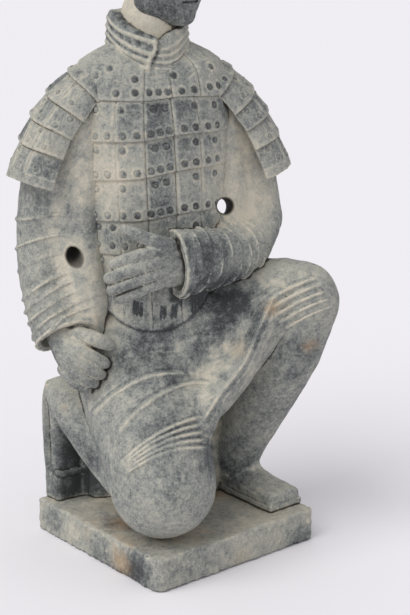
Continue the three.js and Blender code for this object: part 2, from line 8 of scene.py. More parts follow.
import bpy
import numpy as np
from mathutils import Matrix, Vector

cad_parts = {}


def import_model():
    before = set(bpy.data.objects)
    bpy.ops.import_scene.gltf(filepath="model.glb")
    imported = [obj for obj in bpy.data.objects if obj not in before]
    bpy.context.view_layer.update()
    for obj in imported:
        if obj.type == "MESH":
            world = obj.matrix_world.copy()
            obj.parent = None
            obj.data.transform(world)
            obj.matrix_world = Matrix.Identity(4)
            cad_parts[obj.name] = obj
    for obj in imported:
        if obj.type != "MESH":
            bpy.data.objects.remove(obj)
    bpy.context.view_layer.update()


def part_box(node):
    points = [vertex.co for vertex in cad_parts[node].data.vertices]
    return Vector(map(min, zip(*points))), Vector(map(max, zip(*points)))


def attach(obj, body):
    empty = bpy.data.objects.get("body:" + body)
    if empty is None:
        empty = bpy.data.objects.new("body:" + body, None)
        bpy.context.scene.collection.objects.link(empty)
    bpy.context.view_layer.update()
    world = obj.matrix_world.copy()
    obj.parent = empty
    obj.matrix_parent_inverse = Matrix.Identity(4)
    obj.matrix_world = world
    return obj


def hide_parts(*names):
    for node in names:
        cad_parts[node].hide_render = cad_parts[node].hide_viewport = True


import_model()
FIGURE_LOW, FIGURE_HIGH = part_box("kneeling_figure")
PLINTH_LOW, PLINTH_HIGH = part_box("plinth")

# ---------------------------------------------------------------- sizes from the frame
FIGURE_TALL_MM = 389.8
MM = (FIGURE_HIGH.z - FIGURE_LOW.z) / FIGURE_TALL_MM
GROUND = FIGURE_LOW.z / MM
PLINTH_HALF = (PLINTH_HIGH.x - PLINTH_LOW.x) / 2 / MM
PLINTH_TOP = PLINTH_HIGH.z / MM

BODY_AXIS = (-1.0, 21.0)
BODY_TURN = math.radians(-24)
HEAD_AXIS = (8.5, 22.0)
HEAD_TURN = math.radians(3)
CHIN_Z = 330.0
SCULPT_THREADS = 4
F32 = np.float32


def turned(axis, turn, left, front, up):
    """World point of left / front / height in a frame turned about Z."""
    c, s = math.cos(turn), math.sin(turn)
    return np.array((axis[0] + left * c + front * s, axis[1] + left * s - front * c, up), F32)


def body(left, front, up):
    return turned(BODY_AXIS, BODY_TURN, left, front, up)


def head(left, front, up):
    return turned(HEAD_AXIS, HEAD_TURN, left, front, CHIN_Z + up)


def local(points, axis, turn, up=0.0):
    """Left, front and height of world points in a frame turned about Z."""
    c, s = math.cos(turn), math.sin(turn)
    x = points[:, 0] - axis[0]
    y = points[:, 1] - axis[1]
    return x * c + y * s, x * s - y * c, points[:, 2] - up


def world(x, y, z):
    return np.array((x, y, z), F32)


BODY_LEFT = body(1, 0, 0) - body(0, 0, 0)
BODY_FRONT = body(0, 1, 0) - body(0, 0, 0)
HEAD_LEFT = head(1, 0, 0) - head(0, 0, 0)
HEAD_FRONT = head(0, 1, 0) - head(0, 0, 0)
UP = np.array((0, 0, 1), F32)


def ease(x):
    x = np.clip(x, 0, 1)
    return x * x * (3 - 2 * x)


def bump(x, width):
    return np.exp(-((x / width) ** 2))


def lumps(points, size, seed=0):
    """Gentle unevenness between about -1 and 1, from crossing waves."""
    rng = np.random.default_rng(seed + 11)
    total = 0
    for _ in range(4):
        way = rng.normal(size=3)
        way = (way / np.linalg.norm(way) * (2 * math.pi / size) * rng.uniform(0.7, 1.4)).astype(F32)
        turn = rng.normal(size=3)
        turn = (turn / np.linalg.norm(turn) * (2 * math.pi / size) * 0.6).astype(F32)
        total = total + np.sin(points @ way + 1.7 * np.sin(points @ turn + rng.uniform(0, 6)))
    return total * 0.36


def smooth_line(points, samples):
    """Points spaced along a Catmull-Rom line, with the place in the table of each."""
    p = np.array(points, np.float64)
    ext = np.vstack([2 * p[0] - p[1], p, 2 * p[-1] - p[-2]])
    fine = np.linspace(0, len(p) - 1, 24 * (len(p) - 1) + 1)
    i = np.minimum(fine.astype(int), len(p) - 2)
    t = (fine - i)[:, None]
    a, b, c, d = ext[i], ext[i + 1], ext[i + 2], ext[i + 3]
    line = 0.5 * (2 * b + (c - a) * t + (2 * a - 5 * b + 4 * c - d) * t**2 + (3 * b - a - 3 * c + d) * t**3)
    run = np.concatenate([[0], np.cumsum(np.linalg.norm(np.diff(line, axis=0), axis=1))])
    at = np.linspace(0, run[-1], samples)
    out = np.stack([np.interp(at, run, line[:, k]) for k in range(3)], 1)
    return out, np.interp(at, run, fine), run[-1]


class Limb:
    """A body swept along a smooth line, oval in section; relief(s, angle, points) adds to its radius."""

    def __init__(self, points, wide, deep=None, side=UP, relief=None, flat=False, pitch=2.0):
        deep = wide if deep is None else deep
        rough = sum(np.linalg.norm(np.subtract(points[i + 1], points[i])) for i in range(len(points) - 1))
        count = max(5, int(rough / pitch) + 2)
        line, place, self.length = smooth_line(points, count)
        steps = np.arange(len(points))
        tangent = np.gradient(line, axis=0)
        tangent /= np.linalg.norm(tangent, axis=1)[:, None]
        side = np.asarray(side, float)
        across = side - (tangent @ side)[:, None] * tangent
        across /= np.linalg.norm(across, axis=1)[:, None]
        self.c = line.astype(F32)
        self.t = tangent.astype(F32)
        self.a = across.astype(F32)
        self.b = np.cross(tangent, across).astype(F32)
        self.w = np.interp(place, steps, np.broadcast_to(wide, len(points))).astype(F32)
        self.h = np.interp(place, steps, np.broadcast_to(deep, len(points))).astype(F32)
        self.step = self.length / (count - 1)
        self.relief, self.flat = relief, flat
        reach = max(self.w.max(), self.h.max()) + 2
        self.low = self.c.min(0) - reach
        self.high = self.c.max(0) + reach

    def locate(self, points):
        near = (self.c * self.c).sum(1)[None] - 2 * (points @ self.c.T)
        i = near.argmin(1)
        r = points - self.c[i]
        t = self.t[i]
        run = np.einsum("ij,ij->i", r, t)
        half = F32(self.step / 2)
        part = np.clip(run, -half, half)
        last = len(self.c) - 1
        part = np.where((i == 0) & (part < 0) | (i == last) & (part > 0), 0, part)
        over = run - part
        over = np.where((i == 0) & (over < 0) | (i == last) & (over > 0), over, 0)
        u = np.einsum("ij,ij->i", r, self.a[i])
        v = np.einsum("ij,ij->i", r, self.b[i])
        s = i * self.step + part
        grid = np.arange(last + 1) * self.step
        w = np.interp(s, grid, self.w).astype(F32)
        h = np.interp(s, grid, self.h).astype(F32)
        return s, u, v, over, w, h

    def field(self, points):
        s, u, v, over, w, h = self.locate(points)
        if self.relief is not None:
            add = self.relief(s, np.arctan2(v, u), points)
            w = w + add
            h = h + add
        if self.flat:
            r = np.sqrt(u * u + v * v) + 1e-6
            rho = np.sqrt((u / w) ** 2 + (v / h) ** 2) + 1e-6
            end = np.where(over != 0, np.abs(over), -np.minimum(s, self.length - s))
            return np.maximum(r - r / rho, end)
        low = np.minimum(w, h)
        r = np.sqrt(u * u + v * v + over * over) + 1e-6
        rho = np.sqrt((u / w) ** 2 + (v / h) ** 2 + (over / low) ** 2) + 1e-6
        return r - r / rho


class Oval:
    """An ellipsoid, its axes along left, front and up of the given frame."""

    def __init__(self, centre, radii, left=BODY_LEFT, front=BODY_FRONT, up=UP, relief=None):
        self.centre = np.asarray(centre, F32)
        self.axes = np.stack([left, front, up]).astype(F32)
        self.radii = np.array(radii, F32)
        self.relief = relief
        reach = max(radii) + 1
        self.low, self.high = self.centre - reach, self.centre + reach

    def field(self, points):
        p = (points - self.centre) @ self.axes.T
        k0 = np.linalg.norm(p / self.radii, axis=1) + 1e-6
        k1 = np.linalg.norm(p / self.radii**2, axis=1) + 1e-6
        d = k0 * (k0 - 1) / k1
        if self.relief is not None:
            d = d - self.relief(p, points)
        return d


class Slab:
    """A box with rounded edges, its axes along left, front and up of the given frame."""

    def __init__(self, centre, half, edge, left=world(1, 0, 0), front=world(0, 1, 0), up=UP, relief=None):
        self.centre = np.asarray(centre, F32)
        self.axes = np.stack([left, front, up]).astype(F32)
        self.half, self.edge, self.relief = np.array(half, F32), edge, relief
        reach = float(np.linalg.norm(half)) + 1
        self.low, self.high = self.centre - reach, self.centre + reach

    def field(self, points):
        p = (points - self.centre) @ self.axes.T
        q = np.abs(p) - (self.half - self.edge)
        d = np.linalg.norm(np.maximum(q, 0), axis=1) + np.minimum(q.max(1), 0) - self.edge
        if self.relief is not None:
            d = d - self.relief(p, points)
        return d


class Stroke:
    """A raised or sunk line along a smooth path, fading at its ends; depth along `through` is ignored."""

    def __init__(self, points, width, height, fade=0.25, drop=0.0, through=None):
        self.path = Limb(points, 1.0, pitch=1.5)
        self.width, self.height, self.fade, self.drop = width, height, fade, drop
        self.through = None if through is None else np.asarray(through, F32)
        reach = 4 * width + 2 + (0 if through is None else 10)
        self.low, self.high = self.path.c.min(0) - reach, self.path.c.max(0) + reach

    def amount(self, points):
        path = self.path
        if self.through is None:
            s, u, v, over, _, _ = path.locate(points)
            away = np.sqrt(u * u + v * v + over * over)
            side, far = 0, 0
        else:
            way = self.through
            flat = points - (points @ way)[:, None] * way
            line = path.c - (path.c @ way)[:, None] * way
            i = ((line * line).sum(1)[None] - 2 * (flat @ line.T)).argmin(1)
            r = flat - line[i]
            t = path.t[i] - (path.t[i] @ way)[:, None] * way
            t /= np.linalg.norm(t, axis=1)[:, None] + 1e-6
            run = np.einsum("ij,ij->i", r, t)
            part = np.clip(run, -path.step / 2, path.step / 2)
            r = r - part[:, None] * t
            away = np.linalg.norm(r, axis=1)
            side = np.sign(np.einsum("ij,ij->i", np.cross(t, r), np.broadcast_to(way, r.shape)))
            s = i * path.step + part
            far = np.abs((points - path.c[i]) @ way)
        share = s / path.length
        taper = ease(share / self.fade + 0.1) * ease((1 - share) / self.fade + 0.1)
        ridge = bump(away, self.width)
        if self.drop:
            ridge = ridge - self.drop * bump(away * side - 1.6 * self.width, self.width)
        if self.through is not None:
            ridge = ridge * ease((16 - far) / 5)
        return self.height * taper * ridge


class Dots:
    """Domed studs, each with a pressed groove and a low ring round it."""

    def __init__(self, places, radius, height=1.3):
        self.at = np.array(places, F32)
        self.radius, self.height = radius, height
        reach = radius * 2 + 1
        self.low, self.high = self.at.min(0) - reach, self.at.max(0) + reach

    def away(self, points):
        low, high = points.min(0) - 7, points.max(0) + 7
        near = self.at[((self.at > low) & (self.at < high)).all(1)]
        if not len(near):
            return np.full(len(points), 99.0, F32)
        square = (points * points).sum(1)[:, None] + (near * near).sum(1)[None] - 2 * (points @ near.T)
        return np.sqrt(np.maximum(square.min(1), 0)) / self.radius

    def amount(self, points):
        r = self.away(points)
        dome = self.height * np.sqrt(np.maximum(1 - r * r, 0))
        return dome - 0.6 * bump(r - 1.2, 0.2) + 0.25 * bump(r - 1.6, 0.25)


class Clay:
    """One body of clay: shapes joined and cut in order, with reliefs laid on top."""

    def __init__(self, name, pitch, faces, uneven=0.2):
        self.name, self.pitch, self.faces, self.uneven = name, pitch, faces, uneven
        self.steps = []

    def add(self, shape, soft=0.0):
        self.steps.append(("add", shape, soft))
        return shape

    def cut(self, shape, soft=0.0):
        self.steps.append(("cut", shape, soft))

    def keep(self, shape):
        self.steps.append(("keep", shape, 0.0))

    def mark(self, shape):
        self.steps.append(("mark", shape, 0.0))

    def field(self, points):
        points = np.ascontiguousarray(points, F32)
        low, high = points.min(0), points.max(0)
        d = np.full(len(points), 60.0, F32)
        for kind, shape, soft in self.steps:
            slack = 9.0 + soft if kind in ("add", "cut") else 0.5
            if kind != "keep" and ((low > shape.high + slack).any() or (high < shape.low - slack).any()):
                continue
            if kind == "mark":
                d = d - shape.amount(points)
                continue
            new = shape.field(points)
            if kind == "keep":
                d = np.maximum(d, new)
                continue
            if kind == "cut":
                d = -d
            if soft:
                mix = np.clip(0.5 + 0.5 * (d - new) / soft, 0, 1)
                d = d + (new - d) * mix - soft * mix * (1 - mix)
            else:
                d = np.minimum(d, new)
            if kind == "cut":
                d = -d
        if self.uneven:
            d = d - self.uneven * (lumps(points, 13) + 0.35 * lumps(points, 5, 4))
        return d

    def bounds(self):
        adds = [s for k, s, _ in self.steps if k == "add"]
        low = np.min([s.low for s in adds], axis=0)
        high = np.max([s.high for s in adds], axis=0)
        return low, high


CORNERS = np.array([(i, j, k) for i in (0, 1) for j in (0, 1) for k in (0, 1)])
EDGES = [(a, b) for a in range(8) for b in range(a + 1, 8) if np.abs(CORNERS[a] - CORNERS[b]).sum() == 1]
BLOCK = 8


def in_pieces(task, items):
    with ThreadPoolExecutor(SCULPT_THREADS) as pool:
        return list(pool.map(task, items))


def surface(clay):
    """The closed surface of a body of clay as vertices and quads, on a grid of its pitch."""
    pitch = clay.pitch
    low, high = clay.bounds()
    low = low - 3 * pitch
    edge = BLOCK * pitch
    count = np.ceil((high - low) / edge).astype(int) + 1
    ids = np.stack(np.meshgrid(*[np.arange(n) for n in count], indexing="ij"), -1).reshape(-1, 3)
    order = np.lexsort((ids[:, 2] // 3, ids[:, 1] // 3, ids[:, 0] // 3))
    ids = ids[order]
    groups = np.array_split(ids, max(1, len(ids) // 400))
    near = np.concatenate(in_pieces(lambda g: clay.field(low + (g + 0.5) * edge), groups))
    active = ids[np.abs(near) < 0.87 * edge * 1.15 + 1.2]
    offsets = np.stack(np.meshgrid(*[np.arange(BLOCK + 1)] * 3, indexing="ij"), -1).reshape(-1, 3)
    cells = count * BLOCK + 2

    def key(c):
        return (c[:, 0].astype(np.int64) * cells[1] + c[:, 1]) * cells[2] + c[:, 2]

    def work(blocks):
        base = blocks[:, None] * BLOCK
        lattice = (base + offsets[None]).reshape(-1, 3)
        value = clay.field(low + lattice * pitch).reshape(-1, BLOCK + 1, BLOCK + 1, BLOCK + 1)
        inside = value < 0
        corner = [inside[:, i : i + BLOCK, j : j + BLOCK, k : k + BLOCK] for i, j, k in CORNERS]
        total = sum(c.astype(np.int8) for c in corner)
        b, i, j, k = np.nonzero((total > 0) & (total < 8))
        vals = np.stack([value[b, i + x, j + y, k + z] for x, y, z in CORNERS], 1)
        acc = np.zeros((len(b), 3))
        hits = np.zeros(len(b))
        for p, q in EDGES:
            vp, vq = vals[:, p], vals[:, q]
            cross = (vp < 0) != (vq < 0)
            t = np.where(cross, vp / np.where(cross, vp - vq, 1), 0)[:, None]
            at = CORNERS[p] + (CORNERS[q] - CORNERS[p]) * t
            acc += np.where(cross[:, None], at, 0)
            hits += cross
        cell = blocks[b] * BLOCK + np.stack([i, j, k], 1)
        place = low + (cell + acc / hits[:, None]) * pitch
        quads = []
        for axis in range(3):
            one = [slice(None), slice(0, BLOCK), slice(0, BLOCK), slice(0, BLOCK)]
            two = list(one)
            two[axis + 1] = slice(1, BLOCK + 1)
            first, second = inside[tuple(one)], inside[tuple(two)]
            b, i, j, k = np.nonzero(first != second)
            start = blocks[b] * BLOCK + np.stack([i, j, k], 1)
            out = first[b, i, j, k]
            m, n = (axis + 1) % 3, (axis + 2) % 3
            em, en = np.eye(3, dtype=int)[m], np.eye(3, dtype=int)[n]
            ring = np.stack([start - em - en, start - en, start, start - em], 1)
            ring[~out] = ring[~out][:, ::-1]
            quads.append(ring)
        return key(cell), place, np.concatenate(quads)

    done = set()
    keys, places, rings = [], [], []
    for _ in range(4):
        if not len(active):
            break
        done.update(map(tuple, active.tolist()))
        for k, p, r in in_pieces(work, np.array_split(active, max(1, len(active) // 40))):
            keys.append(k)
            places.append(p)
            rings.append(r)
        all_keys = np.concatenate(keys)
        ring = np.concatenate(rings)
        wanted = key(ring.reshape(-1, 3))
        lost = ring.reshape(-1, 3)[~np.isin(wanted, all_keys)]
        more = {tuple(x) for x in np.unique(lost // BLOCK, axis=0).tolist()} - done
        active = np.array(sorted(more), int).reshape(-1, 3)
    place = np.concatenate(places)
    order = np.argsort(all_keys)
    index = np.searchsorted(all_keys[order], wanted)
    index = np.minimum(index, len(order) - 1)
    fits = (all_keys[order][index] == wanted).reshape(-1, 4).all(1)
    faces = index.reshape(-1, 4)[fits]
    verts = place[order]
    verts = settle(clay, verts, pitch)
    return verts, faces


def gradient(clay, points, h):
    taps = np.array([(1, -1, -1), (-1, -1, 1), (-1, 1, -1), (1, 1, 1)], F32)
    total = 0
    for tap in taps:
        total = total + clay.field(points + tap * h)[:, None] * tap
    return total / (4 * h)


def chunked(task, points, size=30000):
    """Runs a task on neighbouring points together, so that far shapes can be skipped."""
    cell = np.floor(points / 24).astype(int)
    order = np.lexsort((points[:, 2], cell[:, 1], cell[:, 0], cell[:, 2]))
    parts = np.array_split(order, max(1, len(order) // size))
    got = in_pieces(lambda part: task(points[part]), parts)
    first = got[0]
    out = np.empty((len(points),) + first.shape[1:], first.dtype)
    for part, value in zip(parts, got):
        out[part] = value
    return out


def settle(clay, verts, pitch):
    """Moves the vertices onto the true surface, by less than half a grid step."""

    def task(p):
        p = p.astype(F32)
        g = gradient(clay, p, 0.3 * pitch)
        d = clay.field(p)
        size = np.maximum((g * g).sum(1), 0.3)
        shift = np.clip(-d / size, -0.45 * pitch, 0.45 * pitch)
        return p + g * shift[:, None]

    return chunked(task, verts, 12000)


# ---------------------------------------------------------------- torso armour
CHEST_UP = [120, 146, 180, 214, 245, 268, 284, 296, 304, 309, 313, 317, 321]
CHEST_WIDE = [44, 45.5, 43.5, 44.5, 47, 47.5, 47.5, 47, 46, 43.5, 38, 30, 22]
CHEST_DEEP = [38, 40, 37, 37, 38, 38, 35.5, 32.5, 29.5, 25, 19.5, 16, 12]
CHEST_POWER = 2.35
SEAM_ROWS = [195.0, 216.0, 242.2, 265.0, 288.6]
COLUMNS = [-61, -41.5, -18, 9, 33, 56.5, 81, 103, 124, 146, 168, -170, -148, -126, -104, -81]
APRON_LOW, APRON_RISE = 146.5, 20.0
YOKE_LINES = [(-17.5, 0.05), (10.5, 0.1), (39, 0.3), (140, 0), (-140, 0)]
ROW_TILT = [0.05, 0.06, 0.095, 0.05, 0.0]


def chest_reach(angle, up):
    """Distance from the body's axis to the armour, before plates."""
    wide = np.interp(up, CHEST_UP, CHEST_WIDE)
    deep = np.interp(up, CHEST_UP, CHEST_DEEP)
    c = (np.abs(np.sin(angle)) / wide) ** CHEST_POWER
    s = (np.abs(np.cos(angle)) / deep) ** CHEST_POWER
    return (c + s) ** (-1 / CHEST_POWER)


def plate_grid(angle, up):
    """Row and column of the laced plate at one place, with the distances to its seams."""
    reach = chest_reach(angle, up)
    left_of = reach * np.sin(angle)
    sway = 0.9 * np.sin(2.1 * angle + 0.8) + 0.5 * np.sin(5 * angle)
    facing = ease(np.cos(angle) * 3)
    seams = [low + sway + tilt * (left_of + 16) * facing for low, tilt in zip(SEAM_ROWS, ROW_TILT)]
    seams.append(np.full_like(sway, 330.0))
    row = sum((up >= seam).astype(int) for seam in seams[:-1]) - 1
    low = np.where(row < 0, 100.0, 0)
    high = np.where(row < 0, seams[0], 0)
    for k in range(len(SEAM_ROWS)):
        low = np.where(row == k, seams[k], low)
        high = np.where(row == k, seams[k + 1], high)
    degrees = np.degrees(angle) + 0.05 * (up - 250) * facing
    edges = np.sort(np.array(COLUMNS, float))
    slot = (np.searchsorted(edges, degrees) - 1) % len(edges)
    arc = reach * (math.pi / 180)
    left = (degrees - edges[slot]) % 360 * arc
    right = (edges[(slot + 1) % len(edges)] - degrees) % 360 * arc
    yoke_line = np.full_like(up, 30.0)
    for at, slope in YOKE_LINES:
        yoke_line = np.minimum(yoke_line, np.abs(degrees - at - slope * (up - 289)) * arc)
    yoke = row == len(SEAM_ROWS) - 1
    hidden = 9 * bump(np.abs(degrees) - 64, 11) * ~yoke
    left, right = np.where(yoke, yoke_line, left + hidden), np.where(yoke, yoke_line, right + hidden)
    return row, slot, up - low, high - up, left, right


def plate_relief(angle, up):
    """How far the laced plates stand out of the chest at one place."""
    row, slot, above, below, left, right = plate_grid(angle, up)
    yoke, apron = row == len(SEAM_ROWS) - 1, row < 0
    part = below / np.maximum(above + below, 1)
    grown = 1.5 * np.clip(part, 0, 1)
    grown = np.where(yoke, 1.3 * ease((11 - above) / 11), grown)
    grown = np.where(apron, 0.3 + 0.5 * ease((192 - up) / 42), grown)
    lift = np.where((slot % 2 == 0) & ~yoke, 0.4, 0.0)
    column = np.where(yoke, 0.8 * ease((313 - up) / 4), np.where(apron, 0.6, 0.9))
    beside = np.minimum(left, right)
    grown = grown + lift - 0.9 * column * bump(beside, 0.5) + 0.2 * column * bump(beside - 1.6, 0.9)
    grown = grown - 0.8 * bump(np.minimum(above, 9) - 0.1, 0.5) * np.where(apron, 0, 1)
    return grown - 0.5 * bump(np.minimum(below, 9) - 0.3, 0.7) * np.where(yoke, 0, 1)


class Chest:
    """The armoured trunk, with its laced plates and the scooped lower edge of its apron."""

    def __init__(self):
        self.low = body(0, 0, 0) - 56
        self.high = body(0, 0, 0) + 56
        self.low[2], self.high[2] = 118, 325

    def field(self, points):
        left, front, up = local(points, BODY_AXIS, BODY_TURN)
        angle = np.arctan2(left, front)
        r = np.sqrt(left * left + front * front)
        reach = chest_reach(angle, up)
        side = (r - reach - plate_relief(angle, up)) * 0.93
        turn = np.abs(np.degrees(angle) + 10)
        edge = APRON_LOW + APRON_RISE * np.clip((turn - 6) / 46, 0, 1) ** 1.8
        return np.maximum(np.maximum(side, edge - up), up - 320).astype(F32)


def round_chest(angle, up):
    """A point on the armour at one turn from the front and height."""
    turn = np.array([angle])
    height = np.array([float(up)])
    r = float(chest_reach(turn, height)[0] + plate_relief(turn, height)[0])
    return body(r * math.sin(angle), r * math.cos(angle), up)


def on_chest(left, up, out=0.0):
    """A point on the armour's front at one left / right place and height."""
    wide = np.interp(up, CHEST_UP, CHEST_WIDE)
    deep = np.interp(up, CHEST_UP, CHEST_DEEP)
    front = deep * (1 - min(0.985, abs(left) / wide) ** CHEST_POWER) ** (1 / CHEST_POWER)
    angle = np.array([math.atan2(left, front)])
    extra = float(plate_relief(angle, np.array([float(up)]))[0]) + out
    size = math.hypot(left, front)
    return body(left * (1 + extra / size), front * (1 + extra / size), up)


STUD_R = 1.75


def seam_height(row, left):
    """Height of the seam under one row of plates at one left / right place."""
    angle = math.atan2(left, math.sqrt(max(1, 38**2 - 0.6 * left * left)))
    sway = 0.9 * math.sin(2.1 * angle + 0.8) + 0.5 * math.sin(5 * angle)
    return SEAM_ROWS[row] + sway + ROW_TILT[row] * (left + 16) * float(ease(math.cos(angle) * 3))


def chest_studs():
    lower = (-39.2, -33.2, -24.8, -16.8, -8.9, -3.2, 2.4, 11.2, 18.6, 27.2, 34.0)
    upper = (-39.2, -25.4, -6.5, 0.4, 19.0, 33.0)
    places = []
    for row in range(1, len(SEAM_ROWS) - 1):
        places += [on_chest(x, seam_height(row, x) + 4.0) for x in lower]
        places += [on_chest(x, seam_height(row + 1, x) - 5.0) for x in upper]
    low_spots = [(-38, 211), (-31, 211.2), (-24, 211), (19, 211), (-38, 200), (-31, 200), (-24, 200),
                 (-15, 200.5), (-37, 190), (-28, 188), (-37, 180)]
    yoke_spots = [(-27.5, 293), (-16.6, 293.4), (-8.6, 293.4), (-3.0, 293.4), (2.6, 293.4), (11.2, 293.6),
                  (19.2, 294), (30.2, 294.6), (36.6, 294.6), (-16.4, 301), (7.4, 302.5), (-38, 303),
                  (-30, 307),
                  (33, 306)]
    places += [on_chest(left, up) for left, up in low_spots + yoke_spots]
    for turn in (-103, -124, 103, 124, 146, 168, -168, -146):
        for row in range(1, len(SEAM_ROWS) - 1):
            low, high = SEAM_ROWS[row] + 4.2, SEAM_ROWS[row + 1] - 5
            for shift, up in ((-5, low), (5, low), (0, high)):
                places.append(round_chest(math.radians(turn + 11 + shift), up))
    return Dots(places, STUD_R)


def chest_strokes(clay):
    """Incised lines on the yoke, the plates and the apron."""
    rows = [(-30, 301, -20, 298.5), (-29, 298.6, -20, 296), (-8, 301.5, 3, 303), (-8, 298.4, 3, 300)]
    rows += [(15, 303, 24, 308), (16, 300.5, 26, 306), (30, 300, 33, 305)]
    for left_a, up_a, left_b, up_b in rows:
        a, b = on_chest(left_a, up_a), on_chest(left_b, up_b)
        clay.mark(Stroke([a, (a + b) / 2, b], 0.55, -0.9))
    for left in (-33, -31, -20, -18.4, -16, -4, -2, 3, 5, 16, 18, 20.5, 23, 31, 33.5):
        low = 151 + 0.006 * left * left * 1.6
        a, b = on_chest(left, low + 2), on_chest(left + 0.8, low + 12)
        clay.mark(Stroke([a, (a + b) / 2, b], 0.55, -1.1))
    for row in range(1, 4):
        for left in (-20, 1.5, 15.5, 31, -33.5):
            base = SEAM_ROWS[row] + 9.5 + (left % 3)
            a, b = on_chest(left - 2.4, base + 3.6), on_chest(left + 2.2, base)
            clay.mark(Stroke([a, (a + b) / 2, b], 0.45, -0.35))


# ---------------------------------------------------------------- shoulder guards
GUARD_PATH = [(27, -1, 299), (43, -1, 285), (56, -1, 267), (65, 0, 247), (69.5, 1, 234)]
GUARD_WIDE = [15.0, 18.6, 20.0, 20.4, 20.4]
GUARD_DEEP = [21.0, 25.0, 25.8, 25.4, 24.8]
GUARD_ROWS = [0.0, 15.0, 30.0, 44.0, 58.0, 73.5]
GUARD_COLUMNS = [-50.0, -17.0, 17.0, 50.0]
GUARD_WRAP = 95


def guard_grid(s, angle, sign):
    """Row of the guard's plates at one place, and the distances to its seams."""
    turn = np.degrees(angle) * sign
    skew = 0.05 * turn * 0.35 + 0.7 * np.sin(np.radians(turn) * 3)
    edges = np.array(GUARD_ROWS)
    row = np.clip(np.searchsorted(edges, s - skew) - 1, 0, len(edges) - 2)
    above = s - skew - edges[row]
    below = edges[row + 1] + skew - s
    columns = np.array(GUARD_COLUMNS)
    slot = np.searchsorted(columns, turn)
    beside = np.abs(turn[:, None] - columns[None]).min(1) * 0.39
    return row, slot, above, below, beside, turn


def guard_relief(sign):
    def relief(s, angle, points):
        _, slot, above, below, beside, turn = guard_grid(s, angle, sign)
        share = np.clip(above / np.maximum(above + below, 1), 0, 1)
        rise = 1.5 * share**1.3 + 0.35 * bump(below - 1.2, 0.9)
        rise = rise - 0.8 * bump(np.minimum(above, 5) - 0.3, 0.6)
        rise = rise - 0.9 * bump(beside, 0.55) + np.where(slot % 2 == 0, 0.4, 0.0)
        for at in (-37, -28, -5, 4, 27, 36, 62, 71, -70, -62):
            away = (turn - at - 0.8 * (above - 6)) * 0.39
            rise = rise - 0.65 * bump(away, 0.42) * ease((3.8 - np.abs(above - 6.5)) / 1.2)
        return rise

    return relief


class GuardShell:
    """A curved shell of stepped plates over the outer side of the upper arm."""

    def __init__(self, sign):
        line = [body(sign * a, b, c) for a, b, c in GUARD_PATH]
        side = BODY_LEFT * sign
        self.sign = sign
        self.outer = Limb(line, GUARD_WIDE, GUARD_DEEP, side=side, relief=guard_relief(sign), flat=True)
        wide = [w - 4.4 for w in GUARD_WIDE[1:]]
        deep = [d - 4.2 for d in GUARD_DEEP[1:]]
        self.inner = Limb(line[1:], wide, deep, side=side)
        self.low, self.high = self.outer.low, self.outer.high

    def field(self, points):
        outer = self.outer
        s, u, v, _, _, _ = outer.locate(points)
        angle = np.arctan2(np.abs(v), u)
        edge = (angle - math.radians(GUARD_WRAP)) * np.sqrt(u * u + v * v)
        return np.maximum(np.maximum(outer.field(points), -self.inner.field(points)), edge)


def guard_studs(guard):
    outer, sign = guard.outer, guard.sign
    places = []
    for i in range(len(GUARD_ROWS) - 1):
        for n, turn in enumerate((-66, -33, 0, 33, 67)):
            for part, shift in ((0.78, -6), (0.24, 8)):
                if part < 0.5 and (i + n) % 2:
                    continue
                s = GUARD_ROWS[i] + part * (GUARD_ROWS[i + 1] - GUARD_ROWS[i])
                angle = math.radians((turn + shift) * sign)
                k = min(len(outer.c) - 1, int(round(s / outer.step)))
                add = float(outer.relief(np.array([s]), np.array([angle]), None)[0])
                c, d = math.cos(angle), math.sin(angle)
                place = outer.c[k] + outer.a[k] * c * (outer.w[k] + add)
                places.append(place + outer.b[k] * d * (outer.h[k] + add))
    return places


def chest():
    clay = Clay("chest", 0.68, 185000, uneven=0.16)
    clay.add(Chest())
    chest_strokes(clay)
    clay.studs = chest_studs()
    clay.mark(clay.studs)
    clay.cut(vent(-1))
    clay.cut(vent(1))
    return clay


def guards():
    clay = Clay("guards", 0.68, 140000, uneven=0.14)
    clay.shells = [GuardShell(-1), GuardShell(1)]
    places = []
    for shell in clay.shells:
        clay.add(shell)
        places += guard_studs(shell)
    clay.studs = Dots(places, STUD_R * 0.8, 0.8)
    clay.mark(clay.studs)
    return clay


def vent(sign):
    """The round hole through the clay between one arm and the body."""
    if sign < 0:
        return Limb([body(-54.5, -30, 203), body(-54, 44, 189)], 4.4, 5.6, side=BODY_LEFT)
    return Limb([body(51, -36, 205), body(43.7, 14, 217.2), body(38.5, 34, 221.2)], 4.9, side=BODY_LEFT)


# ---------------------------------------------------------------- collar, neck and head
COLLAR_FRONT = -6.5
COLLAR_UP = [296, 303, 309, 315, 322, 330, 338, 344]
COLLAR_REACH = [29.5, 27.0, 25.8, 25.2, 24.8, 24.4, 23.2, 20.0]
COLLAR_LEAN = [1.32, 1.3, 1.27, 1.23, 1.18, 1.12, 1.05, 1.0]
RIGHT_FOLDS = [(333.5, 321.5, 1.3), (328.7, 313.8, 1.6), (324.0, 309.2, 1.6), (319.3, 305.0, 1.4)]
LEFT_FOLDS = [(330.0, 317.8, 0.9), (326.0, 313.8, 1.1), (321.6, 309.8, 1.1), (317.0, 306.0, 0.9)]
TUCK_UP = [303, 307, 311, 314.5, 317.5, 322]
TUCK_AT = [-12, -12.8, -11, -6.3, -2.5, -1.4]


